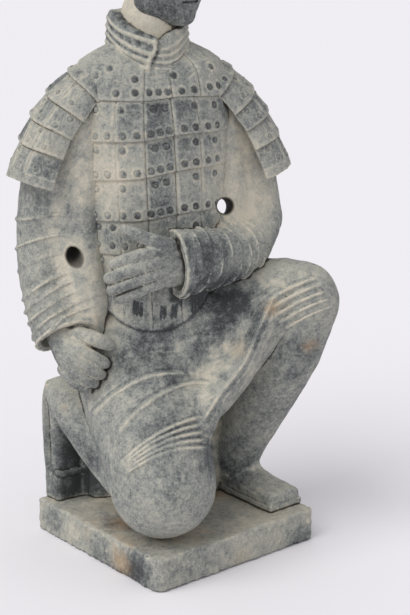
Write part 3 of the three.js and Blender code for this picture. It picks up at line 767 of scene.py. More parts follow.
class Scarf:
    """The folded neck cloth: broad rolls on one side, tucked across finer ones on the other."""

    def __init__(self):
        self.low = body(0, COLLAR_FRONT, 296) - 36
        self.high = body(0, COLLAR_FRONT, 296) + 36
        self.low[2], self.high[2] = 294, 346

    def layers(self, points):
        """Distance from the axis, plain reach, turn, height, crest of the rolls, share of the right side."""
        left, front, up = local(points, BODY_AXIS, BODY_TURN)
        lean = np.interp(up, COLLAR_UP, COLLAR_LEAN)
        front = front - COLLAR_FRONT
        front = np.where(front > 0, front / lean, front / 0.95)
        angle = np.degrees(np.arctan2(left, front))
        side = ease(np.abs(angle) / 95)
        back = ease((np.abs(angle) - 90) / 80)
        tuck = angle - np.interp(up, TUCK_UP, TUCK_AT)
        right = ease(0.5 - tuck / 4)
        share = np.where(np.abs(angle) > 90, ease((180 - np.abs(angle)) / 60) * (angle < 0), right)
        waver = 0.7 * np.sin(angle * 0.09 + up * 0.05)
        rolls, fine = 0, 0
        for high, low, size in RIGHT_FOLDS:
            line = up - (low + (high - low) * side + waver)
            rolls = rolls + size * bump(np.where(line > 0, line * 1.1, line * 0.8), 1.25)
        for high, low, size in LEFT_FOLDS:
            line = up - (low + (high - low) * side + 6 * back + waver)
            fine = fine + size * bump(line, 0.95)
        crest = rolls * share * ease(np.abs(tuck) / 12 + 0.35) * (1 - 0.35 * side) + fine * (1 - share)
        lip = 0.9 * bump(tuck + 3.5, 3.0) - 1.3 * bump(tuck - 2.5, 2.4)
        crest = crest + lip * ease((328 - up) / 8) * ease((up - 302) / 5) * (np.abs(angle) < 60)
        reach = np.interp(up, COLLAR_UP, COLLAR_REACH) + 0.9 * right * (1 - 0.6 * side)
        return np.hypot(left, front), reach, angle, up, crest, share

    def field(self, points):
        r, reach, angle, up, crest, _ = self.layers(points)
        side = ease(np.abs(angle) / 95)
        back = ease((np.abs(angle) - 90) / 80)
        top = 325.0 + 12.5 * side * np.where(angle < 0, 1, 0.62) + 4.5 * back * (angle > 0)
        top = top - 3.0 * bump(angle - 4, 9)
        d, over = (r - reach - crest) * 0.9, up - top - 0.25 * (r - 20)
        mix = np.clip(0.5 + 0.5 * (over - d) / 2.4, 0, 1)
        return (d + (over - d) * mix + 2.4 * mix * (1 - mix)).astype(F32)


def collar():
    clay = Clay("collar", 0.68, 75000, uneven=0.16)
    clay.scarf = Scarf()
    clay.add(clay.scarf)
    return clay


def face_oval(left, front, up, radii):
    return Oval(head(left, front, up), radii, HEAD_LEFT, HEAD_FRONT)


HAIR_FRONT, HAIR_SLOPE = 50.0, 1.02
BUN_LEFT, BUN_FRONT, BUN_UP = 6.5, -7.0, 69.0


class HairCap:
    """The combed hair: a slightly larger skull above a slanting hairline, grooved towards the bun."""

    def __init__(self):
        self.oval = face_oval(0, -1.2, 41.5, (24.2, 27.2, 26.6))
        self.low, self.high = self.oval.low, self.oval.high

    def field(self, points):
        left, front, up = local(points, HEAD_AXIS, HEAD_TURN, CHIN_Z)
        d = self.oval.field(points)
        x, y = left - BUN_LEFT, front - BUN_FRONT
        comb = np.sin(np.arctan2(x, y) * 46 + 0.06 * (up - 40)) * ease(np.hypot(x, y) / 9 - 0.6)
        d = d - 0.3 * comb
        line = HAIR_FRONT + HAIR_SLOPE * (front - 22) - 0.012 * left * left
        return np.maximum(d, (line - up) / math.hypot(1, HAIR_SLOPE)).astype(F32)


def add_face(clay):
    clay.add(face_oval(0, 0.5, 41.5, (22.6, 26.4, 24.6)))
    clay.add(face_oval(0, 8.5, 27.5, (19.8, 18.6, 27.0)), 6)
    clay.add(face_oval(0, 9.5, 13.5, (17.4, 15.6, 12.8)), 6)
    for sign in (-1, 1):
        clay.add(face_oval(sign * 15.5, 3.5, 13.5, (5.5, 7.5, 8.0)), 7)
        clay.add(face_oval(sign * 10.8, 18.6, 23.5, (7.8, 6.6, 7.2)), 6)
    clay.add(face_oval(0, 20.2, 5.6, (7.4, 7.0, 5.8)), 5)
    brow = [head(-13.5, 20.8, 37.6), head(-6, 25.4, 39.2), head(0, 26.2, 38.0), head(6, 25.4, 39.2),
            head(13.5, 20.8, 37.6)]
    clay.add(Limb(brow, [1.6, 2.4, 2.2, 2.4, 1.6]), 4)
    for sign in (-1, 1):
        clay.cut(face_oval(sign * 8.6, 28.0, 33.6, (6.2, 5.4, 3.9)), 3.0)
        clay.add(face_oval(sign * 8.6, 21.4, 33.2, (5.3, 4.4, 3.3)), 0.6)
        lid = [head(sign * 14.2, 20.6, 32.2), head(sign * 11.6, 24.3, 34.6), head(sign * 8.2, 26.2, 35.4),
               head(sign * 4.6, 25.4, 33.4)]
        clay.add(Limb(lid, [0.5, 0.8, 0.9, 0.5]), 0.7)
        low_lid = [head(sign * 13.6, 20.8, 31.6), head(sign * 8.6, 25.2, 30.4), head(sign * 4.6, 25.2, 32.2)]
        clay.add(Limb(low_lid, [0.4, 0.7, 0.4]), 0.9)
    nose = [head(0, 25.6, 37.5), head(0, 28.4, 31.5), head(0, 31.0, 25.4)]
    clay.add(Limb(nose, [1.9, 2.3, 3.1], [2.2, 2.6, 2.7], side=HEAD_LEFT), 2.4)
    for sign in (-1, 1):
        clay.add(face_oval(sign * 3.5, 28.2, 23.4, (2.3, 2.9, 2.2)), 1.4)
        clay.cut(face_oval(sign * 1.9, 30.2, 21.4, (0.9, 1.5, 1.0)), 0.6)
    clay.add(face_oval(0, 23.6, 15.2, (8.2, 5.0, 6.0)), 5)
    upper = [head(-7.0, 25.4, 15.8), head(-3, 28.2, 16.8), head(0, 28.6, 16.4), head(3, 28.2, 16.8),
             head(7.0, 25.4, 15.8)]
    clay.add(Limb(upper, [0.8, 1.5, 1.4, 1.5, 0.8]), 1.2)
    lower = [head(-5.6, 25.6, 13.6), head(0, 28.3, 12.6), head(5.6, 25.6, 13.6)]
    clay.add(Limb(lower, [0.9, 1.8, 0.9]), 1.2)
    mouth = [head(-7.8, 25.2, 15.2), head(-3, 28.9, 14.8), head(0, 29.4, 14.9), head(3, 28.9, 14.8),
             head(7.8, 25.2, 15.2)]
    clay.cut(Limb(mouth, 0.55), 0.5)
    clay.cut(Limb([head(0, 29.4, 20.6), head(0, 29.2, 17.8)], 0.7), 1.2)
    for sign in (-1, 1):
        ear = [head(sign * 21.2, 1.5, 22.5), head(sign * 23.4, -1.6, 26.5), head(sign * 24.2, -3.2, 32),
               head(sign * 24.0, -1.8, 37), head(sign * 22.8, 1.6, 38), head(sign * 22.2, 2.6, 33.6)]
        clay.add(Limb(ear, [2.0, 1.4, 1.4, 1.4, 1.2, 1.0]), 0.8)
        clay.add(face_oval(sign * 22.2, -0.4, 30.4, (1.6, 3.6, 7.2)), 1.0)


def add_hair(clay):
    clay.add(HairCap(), 0.3)
    centre = head(BUN_LEFT, BUN_FRONT, BUN_UP)

    def coil(p, points):
        return 0.28 * np.sin(np.arctan2(p[:, 0], p[:, 1]) * 14 + p[:, 2] * 1.1)

    clay.add(Oval(centre, (9.6, 9.6, 7.6), HEAD_LEFT, HEAD_FRONT, relief=coil), 0.6)
    clay.add(Oval(centre + UP * 6.6, (6.6, 6.6, 5.6), HEAD_LEFT, HEAD_FRONT, relief=coil), 0.5)
    ring = []
    for k in range(9):
        a = k * math.pi / 4
        ring.append(centre + HEAD_LEFT * 8.4 * math.cos(a) + HEAD_FRONT * 8.4 * math.sin(a) - UP * 4.2)
    clay.add(Limb(ring, 1.5, 1.9, side=UP), 0.4)
    for sign in (-1, 1):
        braid = [head(sign * 19.5, -10, 36), head(sign * 14, -20, 38), head(sign * 5, -26, 40)]
        clay.add(Limb(braid, 2.1, 1.6, side=UP,
                      relief=lambda s, a, p: 0.5 * np.abs(np.sin(s * 1.1))), 0.4)
    plait = [head(0, -25.2, 50), head(0, -27.0, 40), head(0, -26.4, 26), head(0, -22.6, 18)]
    clay.add(Limb(plait, [3, 5.0, 5.2, 4.0], [1.4, 2.0, 2.0, 1.4], side=HEAD_LEFT,
                  relief=lambda s, a, p: 0.5 * np.abs(np.sin(s * 0.9 + np.abs(np.cos(a)) * 2))), 0.5)
    clay.add(Limb([head(0, -20, 32), head(0, -15.5, 14)], [13, 11], [7, 7], side=HEAD_LEFT), 4)


def head_clay():
    clay = Clay("head", 0.55, 105000, uneven=0.06)
    add_face(clay)
    add_hair(clay)
    return clay


def neck_clay():
    clay = Clay("neck", 1.0, 20000, uneven=0.2)
    line = [body(0, -7, 300), body(0.5, -4.5, 322), head(-1, -3.5, 14), head(0, -1, 24)]
    clay.add(Limb(line, [21.5, 20.5, 18.0, 16.0], [20.5, 20.0, 18.0, 16.0], side=BODY_LEFT))
    return clay


# ---------------------------------------------------------------- arms and hands

def pleats(start, period, height, tilt=0.0, turn=0.0, count=8):
    """Narrow raised folds round a sleeve, with wide shallow hollows between."""

    def relief(s, angle, points):
        x = (s - start + tilt * np.cos(angle - turn)) / period + 0.12 * np.sin(2 * angle)
        part = x - np.round(x)
        live = ease(x * 2.0) * ease((count - x) * 1.2)
        soft = 0.75 + 0.25 * np.sin(3 * angle + 2.1 * np.round(x))
        return height * live * (soft * bump(np.where(part > 0, part * 1.5, part), 0.2) - 0.35)

    return relief


def arms():
    clay = Clay("arms", 0.9, 130000, uneven=0.2)
    right_line = [body(-50, -2, 280), body(-61, -3, 252), body(-66.5, -4, 222), body(-68.5, -3, 198),
                  body(-68, 5, 174), body(-64.5, 17, 152), body(-62, 24, 143)]
    wide = [16, 16.8, 16.8, 16.6, 17.4, 18.4, 19.0]
    deep = [17, 19.0, 18.4, 17.6, 18.0, 18.4, 19.0]

    def right_folds(s, angle, points):
        low = pleats(106, 7.6, 2.0, tilt=5.0, turn=0.3, count=6.4)(s, angle, points)
        for at, swing, height, width in ((66, 6, 1.3, 1.1), (82, 7, 1.3, 1.1), (97, 5, 0.8, 1.4)):
            low = low + height * bump(s - at + swing * np.cos(angle - 0.3), width)
        return low

    clay.add(Limb(right_line, wide, deep, side=BODY_LEFT, relief=right_folds, flat=True))
    clay.cut(Limb([body(-64.5, 17, 153), body(-61, 27, 139)], [13, 15.6], side=BODY_LEFT), 0.6)
    left_line = [body(50, -2, 280), body(60, -3, 254), body(66, -3, 226), body(67.5, 0, 206)]
    clay.add(Limb(left_line, [16, 16.6, 17.4, 18.6], [17, 18.6, 18.4, 18.6], side=BODY_LEFT))
    fore_line = [body(66, 2, 200), body(55, 18, 191.5), body(38, 31, 189.5), body(18, 39.5, 190),
                 body(4, 43, 189.5)]

    def left_folds(s, angle, points):
        return pleats(18, 6.9, 2.0, tilt=4.5, turn=-0.6, count=8.8)(s, angle, points)

    clay.add(Limb(fore_line, [18.4, 17.6, 17.6, 20.0, 21.4], [17.6, 17.0, 16.6, 17.0, 17.0], side=UP,
                  relief=left_folds, flat=True), 3)
    clay.cut(Limb([body(17, 42, 190.5), body(0, 44.5, 188.5)], [13, 17.2], [9.5, 12.6], side=UP), 1.4)
    clay.mark(Stroke([body(61, 17, 224), body(66, 17, 221), body(73, 13, 219)], 1.0, 1.2))
    clay.mark(Stroke([body(62, 20, 204), body(70, 16, 199), body(77, 9, 192)], 1.2, 1.3))
    webs = [([(-43, 3, 282), (-48, 5, 262), (-52, 6, 240), (-53, 7, 214), (-51.5, 10, 190), (-48.5, 18, 166),
              (-45, 22, 146)], [9, 11, 11.5, 11, 11, 10.5, 9], [14, 16, 15, 13, 12, 12, 11]),
            ([(46, 2, 272), (50, 3, 246), (48, 8, 228), (43, 11, 208), (39, 16, 190)],
             [9, 10, 12, 13, 12], [11, 12, 13, 13, 12])]
    for line, wide, deep in webs:
        clay.add(Limb([body(*p) for p in line], wide, deep, side=BODY_LEFT), 10)
    fills = [([(-42, 14, 268), (-43, 16.5, 240), (-44, 16.5, 212), (-43, 20, 187), (-40.5, 23, 164)], 6.6),
             ([(43, 14, 264), (43.5, 15.5, 240), (43, 16, 226)], 6.5)]
    for line, radius in fills:
        clay.add(Limb([body(*p) for p in line], radius), 12)
    clay.cut(vent(-1), 0.8)
    clay.cut(vent(1), 0.8)
    right_hand(clay)
    left_hand(clay)
    return clay


def finger(clay, points, radii, soft=0.8):
    clay.add(Limb(points, radii, pitch=1.5), soft)


def right_hand(clay):
    clay.add(Limb([body(-63.5, 18, 152), body(-60, 29, 139), body(-57.5, 35, 131)], [11, 11.5, 10.5],
                  [10.5, 12, 12.5], side=BODY_LEFT))
    rows = [
        ([(-60, 38, 142), (-53, 43.5, 138), (-43, 43, 131), (-40, 40, 128.5)], 4.3),
        ([(-63, 37.5, 136.5), (-56, 43.5, 132), (-46, 43.5, 124.5), (-42.5, 40.5, 121.8)], 4.3),
        ([(-64.5, 36.5, 130.5), (-59, 42, 126), (-50, 42, 118.8), (-46.5, 39.5, 116.4)], 4.1),
        ([(-65, 34.5, 125), (-61, 39.5, 120.4), (-54, 40, 114.6), (-51, 38, 112.6)], 3.7),
    ]
    for line, radius in rows:
        finger(clay, [body(*p) for p in line], [radius, radius, radius * 0.95, radius * 0.8])
    thumb = [body(-56, 34, 147), body(-49, 40.5, 146), body(-41, 42.5, 143), body(-37.5, 41.5, 140.8)]
    finger(clay, thumb, [5.2, 5.0, 4.6, 3.8], 1.4)


def left_hand(clay):
    clay.add(Limb([body(14, 43, 189), body(0, 46.5, 190), body(-8, 48, 190)], [12.0, 14.0, 13.2],
                  [8.5, 8, 6.5], side=UP))
    rows = [
        ([(-4, 50.0, 200.8), (-14, 51.6, 199.6), (-25, 50.2, 196.8), (-34.5, 46.0, 192.6)], 4.1),
        ([(-4, 50.6, 194.4), (-15, 52.4, 192.8), (-27, 50.8, 189.2), (-37.5, 46.0, 184.4)], 4.3),
        ([(-3.5, 50.4, 187.8), (-14, 52.0, 185.8), (-26, 50.4, 181.8), (-36.0, 46.0, 176.8)], 4.2),
        ([(-3, 49.6, 181.8), (-12, 51.0, 179.4), (-22, 49.6, 175.4), (-31.0, 46.0, 170.8)], 3.9),
    ]
    for line, radius in rows:
        finger(clay, [body(*p) for p in line], [radius, radius, radius, radius * 0.85], 0.35)
    thumb = [body(-1, 48.5, 202), body(-10, 50.5, 206.0), body(-19, 48.5, 210.0), body(-27.5, 44.2, 214.0)]
    finger(clay, thumb, [5.4, 5.0, 4.0, 2.6], 1.6)


# ---------------------------------------------------------------- robe, legs and feet
FRONT_VIEW = world(-0.61, -0.74, 0.28)
RIGHT_KNEE = np.array(world(-38.5, -37, 56))
LEFT_KNEE = np.array(world(69, -43, 157))
HEM_LINE = [world(-12, -42, 92), world(2, -43, 108), world(19, -46, 126), world(31, -46, 146),
            world(42, -48, 165)]


def swags(knee, first, last, rise, count):
    """Folds hung side by side: arcs bowed upwards, from one pair of ends near a knee to another."""
    first, last = np.array(first, float), np.array(last, float)
    lines = []
    for share in np.linspace(0, 1, count):
        start, end = knee + first + share * (last - first)
        lines.append([tuple(start + (end - start) * u + np.array([0, 0, 4 * rise * u * (1 - u)]))
                      for u in (0, 0.25, 0.5, 0.75, 1)])
    return lines


def robe():
    clay = Clay("robe", 0.92, 130000, uneven=0.25)
    clay.add(Limb([world(-18, 28, 122), world(-28, 0, 96), world(-36, -28, 70), world(-38.5, -37, 56)],
                  [34, 34.5, 33.5, 32.5], [34, 35, 34.5, 33], side=world(1, -0.3, 0)))
    clay.add(Limb([world(12, 28, 134), world(40, -4, 149), world(59, -31, 156.5), world(69, -43, 157)],
                  [32, 29.5, 26.5, 24.5], [32, 29, 26, 24.5], side=world(0.6, 0.5, 0)), 10)
    clay.add(Limb([body(-24, -6, 133), body(18, -6, 134)], [45, 44], [30, 31], side=BODY_FRONT), 10)
    clay.add(Limb([world(-24, -2, 104), world(8, -10, 118), world(46, -18, 142)], [26, 26, 24], [22, 20, 20],
                  side=world(0.35, 0.5, -0.85)), 12)
    clay.add(Limb([world(-22, -30, 88), world(12, -33, 108), world(50, -36, 148)], [16, 15, 16],
                  [14, 12, 13], side=world(0.35, 0.5, -0.85)), 12)
    clay.add(Limb(HEM_LINE, [8, 6.5, 5.2, 5.2, 6], side=UP), 7)

    def tail_fold(s, a, p):
        return 1.3 * np.cos(a * 9 + 0.03 * s)

    clay.add(Limb([world(8, 32, 122), world(0, 40, 84), world(0, 45, 46), world(0, 46, 16)],
                  [35, 36, 35, 36], [27, 20, 16.5, 16], side=world(1, 0.1, 0), relief=tail_fold), 6)
    clay.add(Limb([world(4, 18, 110), world(-8, 12, 72)], [26, 24], [26, 24], side=world(1, 0, 0)), 8)
    clay.add(Limb([body(-14, 14, 140), body(22, 19, 144), world(46, -26, 152)], [24, 22, 20]), 8)
    long_folds = swags(RIGHT_KNEE, [(-25, 40, 40), (25, 5, 65)], [(-25, 15, 35), (35, -5, 60)], 10, 2)
    thigh_folds = swags(RIGHT_KNEE, [(-30, 5, 20), (25, -10, 42)], [(-30, 0, 15), (22, -18, 25)], 6, 5)
    knee_folds = swags(LEFT_KNEE, [(-35, -5, 5), (0, -17, 18)], [(-26, -14, -12), (10, -24, 0)], 2, 5)
    clay.folds = [Stroke(line, 1.4, 1.5, fade=0.12, drop=0.3, through=FRONT_VIEW) for line in long_folds]
    clay.folds += [Stroke(line, 1.0, 1.5, fade=0.12, drop=0.3, through=FRONT_VIEW) for line in thigh_folds]
    clay.folds += [Stroke(line, 1.15, 1.4, fade=0.2, drop=0.35, through=FRONT_VIEW) for line in knee_folds]
    clay.folds += [Stroke(HEM_LINE[::-1], 1.5, 1.6, fade=0.12, drop=0.3, through=FRONT_VIEW)]
    for fold in clay.folds:
        clay.mark(fold)
    clay.keep(Floor(GROUND - 0.4))
    return clay


class Floor:
    """Everything above one height."""

    def __init__(self, up):
        self.up = up
        self.low = self.high = np.zeros(3, F32)

    def field(self, points):
        return self.up - points[:, 2]


def legs():
    clay = Clay("legs", 0.92, 105000, uneven=0.2)
    clay.add(Limb([world(69, -45, 156), world(64, -34, 122), world(55, -19, 84), world(48, -9, 55),
                   world(48, -6, 38)],
                  [23.5, 22.0, 18.5, 15.5, 14.0], [23.5, 23.5, 20.5, 17.0, 14.5], side=world(0.8, 0.6, 0)))
    clay.add(Limb([world(30, 8, 112), world(26, 10, 70), world(27, 10, 12)], [20, 19, 20], [16, 13, 13],
                  side=world(1, 0, 0)), 7)
    left_shoe(clay)
    clay.add(Limb([world(-38, -34, 47), world(-43, 0, 62), world(-48, 34, 84), world(-48, 52, 93)],
                  [23, 19.5, 16.0, 13.0], [21, 18.5, 16.5, 13.0], side=world(1, 0, 0)), 0)
    right_foot(clay)
    clay.keep(Floor(GROUND - 0.4))
    return clay


def left_shoe(clay):
    clay.add(Slab(world(50, -23.6, GROUND + 1.8), (13.6, 29.6, 2.3), 1.1), 0.6)
    clay.add(Slab(world(50, -36.5, GROUND + 5.2), (13.0, 16.2, 5.4), 3.2), 0.8)
    clay.add(Limb([world(50, -45, GROUND + 3.5), world(50, -30, GROUND + 5), world(50, -12, GROUND + 7.5),
                   world(50, 0, GROUND + 9)], [13, 13.2, 13.2, 11], [7, 9.4, 12.5, 12],
                  side=world(1, 0, 0)), 4)
    for side in (36.5, 63.5):
        sole = [world(side, -52, GROUND + 4.2), world(side, -30, GROUND + 4.2), world(side, 2, GROUND + 4.6)]
        clay.mark(Stroke(sole, 0.6, -1.1, fade=0.02))
        top = [world(side, -46, GROUND + 8.0), world(side, -32, GROUND + 10),
               world(side, -16, GROUND + 12.5), world(side, -6, GROUND + 14)]
        clay.mark(Stroke(top, 0.8, -0.9, fade=0.1))
        crest = [world(side + 1, -50, GROUND + 8.6), world(side, -36, GROUND + 8.2),
                 world(side, -20, GROUND + 9.0)]
        clay.mark(Stroke(crest, 0.9, 0.6, fade=0.1))
    toe = [world(37, -52.8, GROUND + 4.2), world(50, -53.2, GROUND + 4.2), world(63, -52.8, GROUND + 4.2)]
    clay.mark(Stroke(toe, 0.6, -0.7, fade=0.02))


def right_foot(clay):
    clay.add(Limb([world(-47, 60, 101), world(-46.5, 64, 86), world(-46, 64.5, 60), world(-46, 62.5, 36),
                   world(-46, 61.5, 14)], [11.5, 12.2, 12.2, 12.0, 11.8], [4.5, 4.6, 4.6, 5.6, 6.6],
                  side=world(1, 0, 0), flat=True), 0.6)
    clay.add(Limb([world(-46.5, 54, 95), world(-46, 56, 72), world(-45, 56, 50), world(-44, 56, 30)],
                  [12.0, 11.6, 12.4, 13.4], [10, 6.4, 6.2, 6.4], side=world(1, 0, 0)), 2)
    clay.add(Slab(world(-42, 56.8, GROUND + 7.0), (15.8, 8.0, 9.0), 2.4), 1.6)
    clay.add(Limb([world(-57.0, 52, 41), world(-54, 48.6, 40.6), world(-40, 48.2, 40),
                   world(-27, 49, 39)], 1.9), 0.8)
    clay.add(Limb([world(-30, 48, 96), world(-24, 50, 60), world(-24, 50, 12)], [14, 14, 15], [10, 8, 8],
                  side=world(1, 0, 0)), 4)
    clay.cut(Limb([world(-60, 59.4, 75), world(-60, 59.6, 61), world(-60, 58.8, 48)], [4.6, 6.0, 4.6],
                  [0.9, 1.4, 0.9], side=world(1, 0, 0)), 0.5)


# ---------------------------------------------------------------- slab
PLINTH_ROUND = (6.0, 5.0, 3.5, 8.0)
CHIPS = [
    (-65.5, -38.0, 22.0, 5.0), (-66.0, -12.0, 21.5, 3.5), (-65.6, 10.0, 22.2, 4.6), (-66.0, 31.0, 21.8, 3.6),
    (-64.4, -52.0, 21.8, 3.0), (-40.0, -66.0, 22.3, 2.6), (8.0, -66.2, 22.6, 2.4), (50.0, -66.0, 22.2, 3.2),
    (66.0, -20.0, 22.0, 4.0), (65.8, 36.0, 22.0, 3.2), (10.0, 66.0, 22.2, 3.8), (-35.0, 66.2, 22.0, 3.0),
]


class PlinthBody:
    """The slab: upright corners rounded, edges softened, sides furrowed by the wire that cut it."""

    def __init__(self):
        self.low = np.array((-PLINTH_HALF - 1, -PLINTH_HALF - 1, -1), F32)
        self.high = np.array((PLINTH_HALF + 1, PLINTH_HALF + 1, PLINTH_TOP + 1), F32)

    def field(self, points):
        x, y, z = points[:, 0], points[:, 1], points[:, 2]
        edge = 1.8 + 0.5 * lumps(points, 17, 9)
        nearest = (x < 0).astype(int) * 2 + (y < 0)
        corner = np.array(PLINTH_ROUND)[nearest]
        inset = PLINTH_HALF - corner
        qx, qy = np.maximum(np.abs(x) - inset, 0), np.maximum(np.abs(y) - inset, 0)
        flat = np.maximum(np.abs(x), np.abs(y)) - PLINTH_HALF
        side = np.where((qx > 0) & (qy > 0), np.sqrt(qx * qx + qy * qy) - corner, flat)
        tall = np.abs(z - PLINTH_TOP / 2) - PLINTH_TOP / 2
        a, b = side + edge, tall + edge
        d = np.sqrt(np.maximum(a, 0) ** 2 + np.maximum(b, 0) ** 2) + np.minimum(np.maximum(a, b), 0) - edge
        return d - self.skin(points, x, y, z)

    def skin(self, points, x, y, z):
        side = ease((np.maximum(np.abs(x), np.abs(y)) - PLINTH_HALF + 3) / 3)
        along = np.where(np.abs(x) > np.abs(y), y, x)
        wires = np.sin(along * 1.7 + 0.9 * np.sin(z * 0.45) + 2 * np.sin(along * 0.13))
        wires = wires + 0.7 * np.sin(along * 0.83 + z * 0.2 + 3 * np.sin(along * 0.05))
        rough = 0.30 * wires + 0.5 * lumps(points, 9, 3) + 0.25 * lumps(points, 4, 13) - 0.75
        top = 0.26 * lumps(points, 26, 5) + 0.12 * lumps(points, 6, 6) - 0.25
        return side * rough + (1 - side) * top


def plinth():
    clay = Clay("plinth", 1.0, 88000, uneven=0.0)
    clay.add(PlinthBody())
    for x, y, z, r in CHIPS:
        clay.cut(Oval(world(x, y, z), (r * 0.7, r * 0.9, r * 0.5), world(1, 0, 0), world(0, 1, 0)), 0.8)
    return clay


# ---------------------------------------------------------------- meshes
CLAYS = {}


def whole(points):
    """Distance to the nearest clay of any body of the figure or the slab."""
    low, high = points.min(0), points.max(0)
    best = np.full(len(points), 40.0, F32)
    for clay in CLAYS.values():
        a, b = clay.bounds()
        if (low > b + 12).any() or (high < a - 12).any():
            continue
        best = np.minimum(best, clay.field(points))
    return best


def build(clay, node, slot_name, masks):
    """Meshes one body of clay, thins it to its face budget and stores its surface masks."""
    verts, quads = surface(clay)
    mesh = bpy.data.meshes.new(clay.name)
    mesh.vertices.add(len(verts))
    mesh.vertices.foreach_set("co", (verts * MM).astype(F32).ravel())
    mesh.loops.add(quads.size)
    mesh.loops.foreach_set("vertex_index", quads.ravel().astype(np.int32))
    mesh.polygons.add(len(quads))
    mesh.polygons.foreach_set("loop_start", np.arange(0, quads.size, 4, dtype=np.int32))
    mesh.update(calc_edges=True)
    obj = bpy.data.objects.new(clay.name, mesh)
    bpy.context.scene.collection.objects.link(obj)
    share = clay.faces / (2 * len(quads))
    if share < 1:
        thin = obj.modifiers.new("thin", "DECIMATE")
        thin.ratio = share
        view = bpy.context.evaluated_depsgraph_get()
        mesh = bpy.data.meshes.new_from_object(obj.evaluated_get(view))
        obj.modifiers.clear()
        old, obj.data = obj.data, mesh
        bpy.data.meshes.remove(old)
        mesh.name = clay.name
    mesh.polygons.foreach_set("use_smooth", np.ones(len(mesh.polygons), bool))
    co = np.empty(len(mesh.vertices) * 3, F32)
    mesh.vertices.foreach_get("co", co)
    points = (co.reshape(-1, 3) / MM).astype(F32)
    for name, values in masks(clay, points).items():
        layer = mesh.attributes.new(name, "FLOAT", "POINT")
        layer.data.foreach_set("value", np.clip(values, -0.5, 1.5).astype(F32))
    mesh.materials.append(MATERIALS[slot_name])
    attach(obj, "root")
    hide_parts(node)
    print(clay.name, "quads", len(quads), "kept", len(mesh.polygons), flush=True)
    return obj


def surface_masks(clay, points):
    """Where the surface is sunk, proud or sheltered, for dusting, wear and painted shade in recesses."""

    def task(p):
        n = gradient(clay, p, 0.4)
        n /= np.linalg.norm(n, axis=1)[:, None] + 1e-6
        near = 1 - whole(p + n * 1.3) / 1.3
        wide = 1 - whole(p + n * 5.0) / 5.0
        proud = 1 + clay.field(p - n * 1.3) / 1.3
        return np.stack([near, wide, proud, n[:, 2]], 1)

    got = chunked(task, points, 12000)
    return {"sunk": got[:, 0] * 0.9, "shelter": got[:, 1], "proud": got[:, 2], "lie": got[:, 3] * 0.5 + 0.5}


# ---------------------------------------------------------------- materials
class Shading:
    """Adds nodes to one material; each method adds a node and returns its output."""

    def __init__(self, name):
        self.material = bpy.data.materials.new(name)
        self.material.use_nodes = True
        tree = self.material.node_tree
        self.nodes, self.links = tree.nodes, tree.links
        self.nodes.clear()
        out = self.nodes.new("ShaderNodeOutputMaterial")
        self.shader = self.nodes.new("ShaderNodeBsdfPrincipled")
        self.links.new(self.shader.outputs[0], out.inputs[0])
        self.place = self.nodes.new("ShaderNodeTexCoord").outputs["Object"]

    def noise(self, scale, detail, broken):
        node = self.nodes.new("ShaderNodeTexNoise")
        for key, value in (("Scale", scale), ("Detail", detail), ("Roughness", broken)):
            node.inputs[key].default_value = value
        self.links.new(self.place, node.inputs["Vector"])
        return node.outputs["Fac"]

    def ramp(self, value, low, high, to_low=0.0, to_high=1.0):
        node = self.nodes.new("ShaderNodeMapRange")
        node.interpolation_type = "SMOOTHSTEP"
        for key, v in (("From Min", low), ("From Max", high), ("To Min", to_low), ("To Max", to_high)):
            node.inputs[key].default_value = v
        self.links.new(value, node.inputs["Value"])
        return node.outputs["Result"]

    def mask(self, attribute):
        node = self.nodes.new("ShaderNodeAttribute")
        node.attribute_name = attribute
        return node.outputs["Fac"]

    def mixed(self, share, under, colour):
        node = self.nodes.new("ShaderNodeMix")
        node.data_type = "RGBA"
        self.links.new(share, node.inputs[0])
        self.links.new(under, node.inputs[6])
        node.inputs[7].default_value = colour + (1,)
        return node.outputs[2]

    def scaled(self, value, centre, gain):
        node = self.nodes.new("ShaderNodeMath")
        node.operation = "MULTIPLY_ADD"
        node.inputs[1].default_value = gain
        node.inputs[2].default_value = -centre * gain
        self.links.new(value, node.inputs[0])
        return node.outputs[0]

    def added(self, a, b):
        node = self.nodes.new("ShaderNodeMath")
        node.operation = "ADD"
        self.links.new(a, node.inputs[0])
        self.links.new(b, node.inputs[1])
        return node.outputs[0]

    def hues(self, level, stops):
        node = self.nodes.new("ShaderNodeValToRGB")
        elements = node.color_ramp.elements
        while len(elements) < len(stops):
            elements.new(0.5)
        for element, (at, _) in zip(elements, stops):
            element.position = at
        for element, (_, colour) in zip(elements, stops):
            element.color = colour + (1,)
        self.links.new(level, node.inputs[0])
        return node.outputs[0]


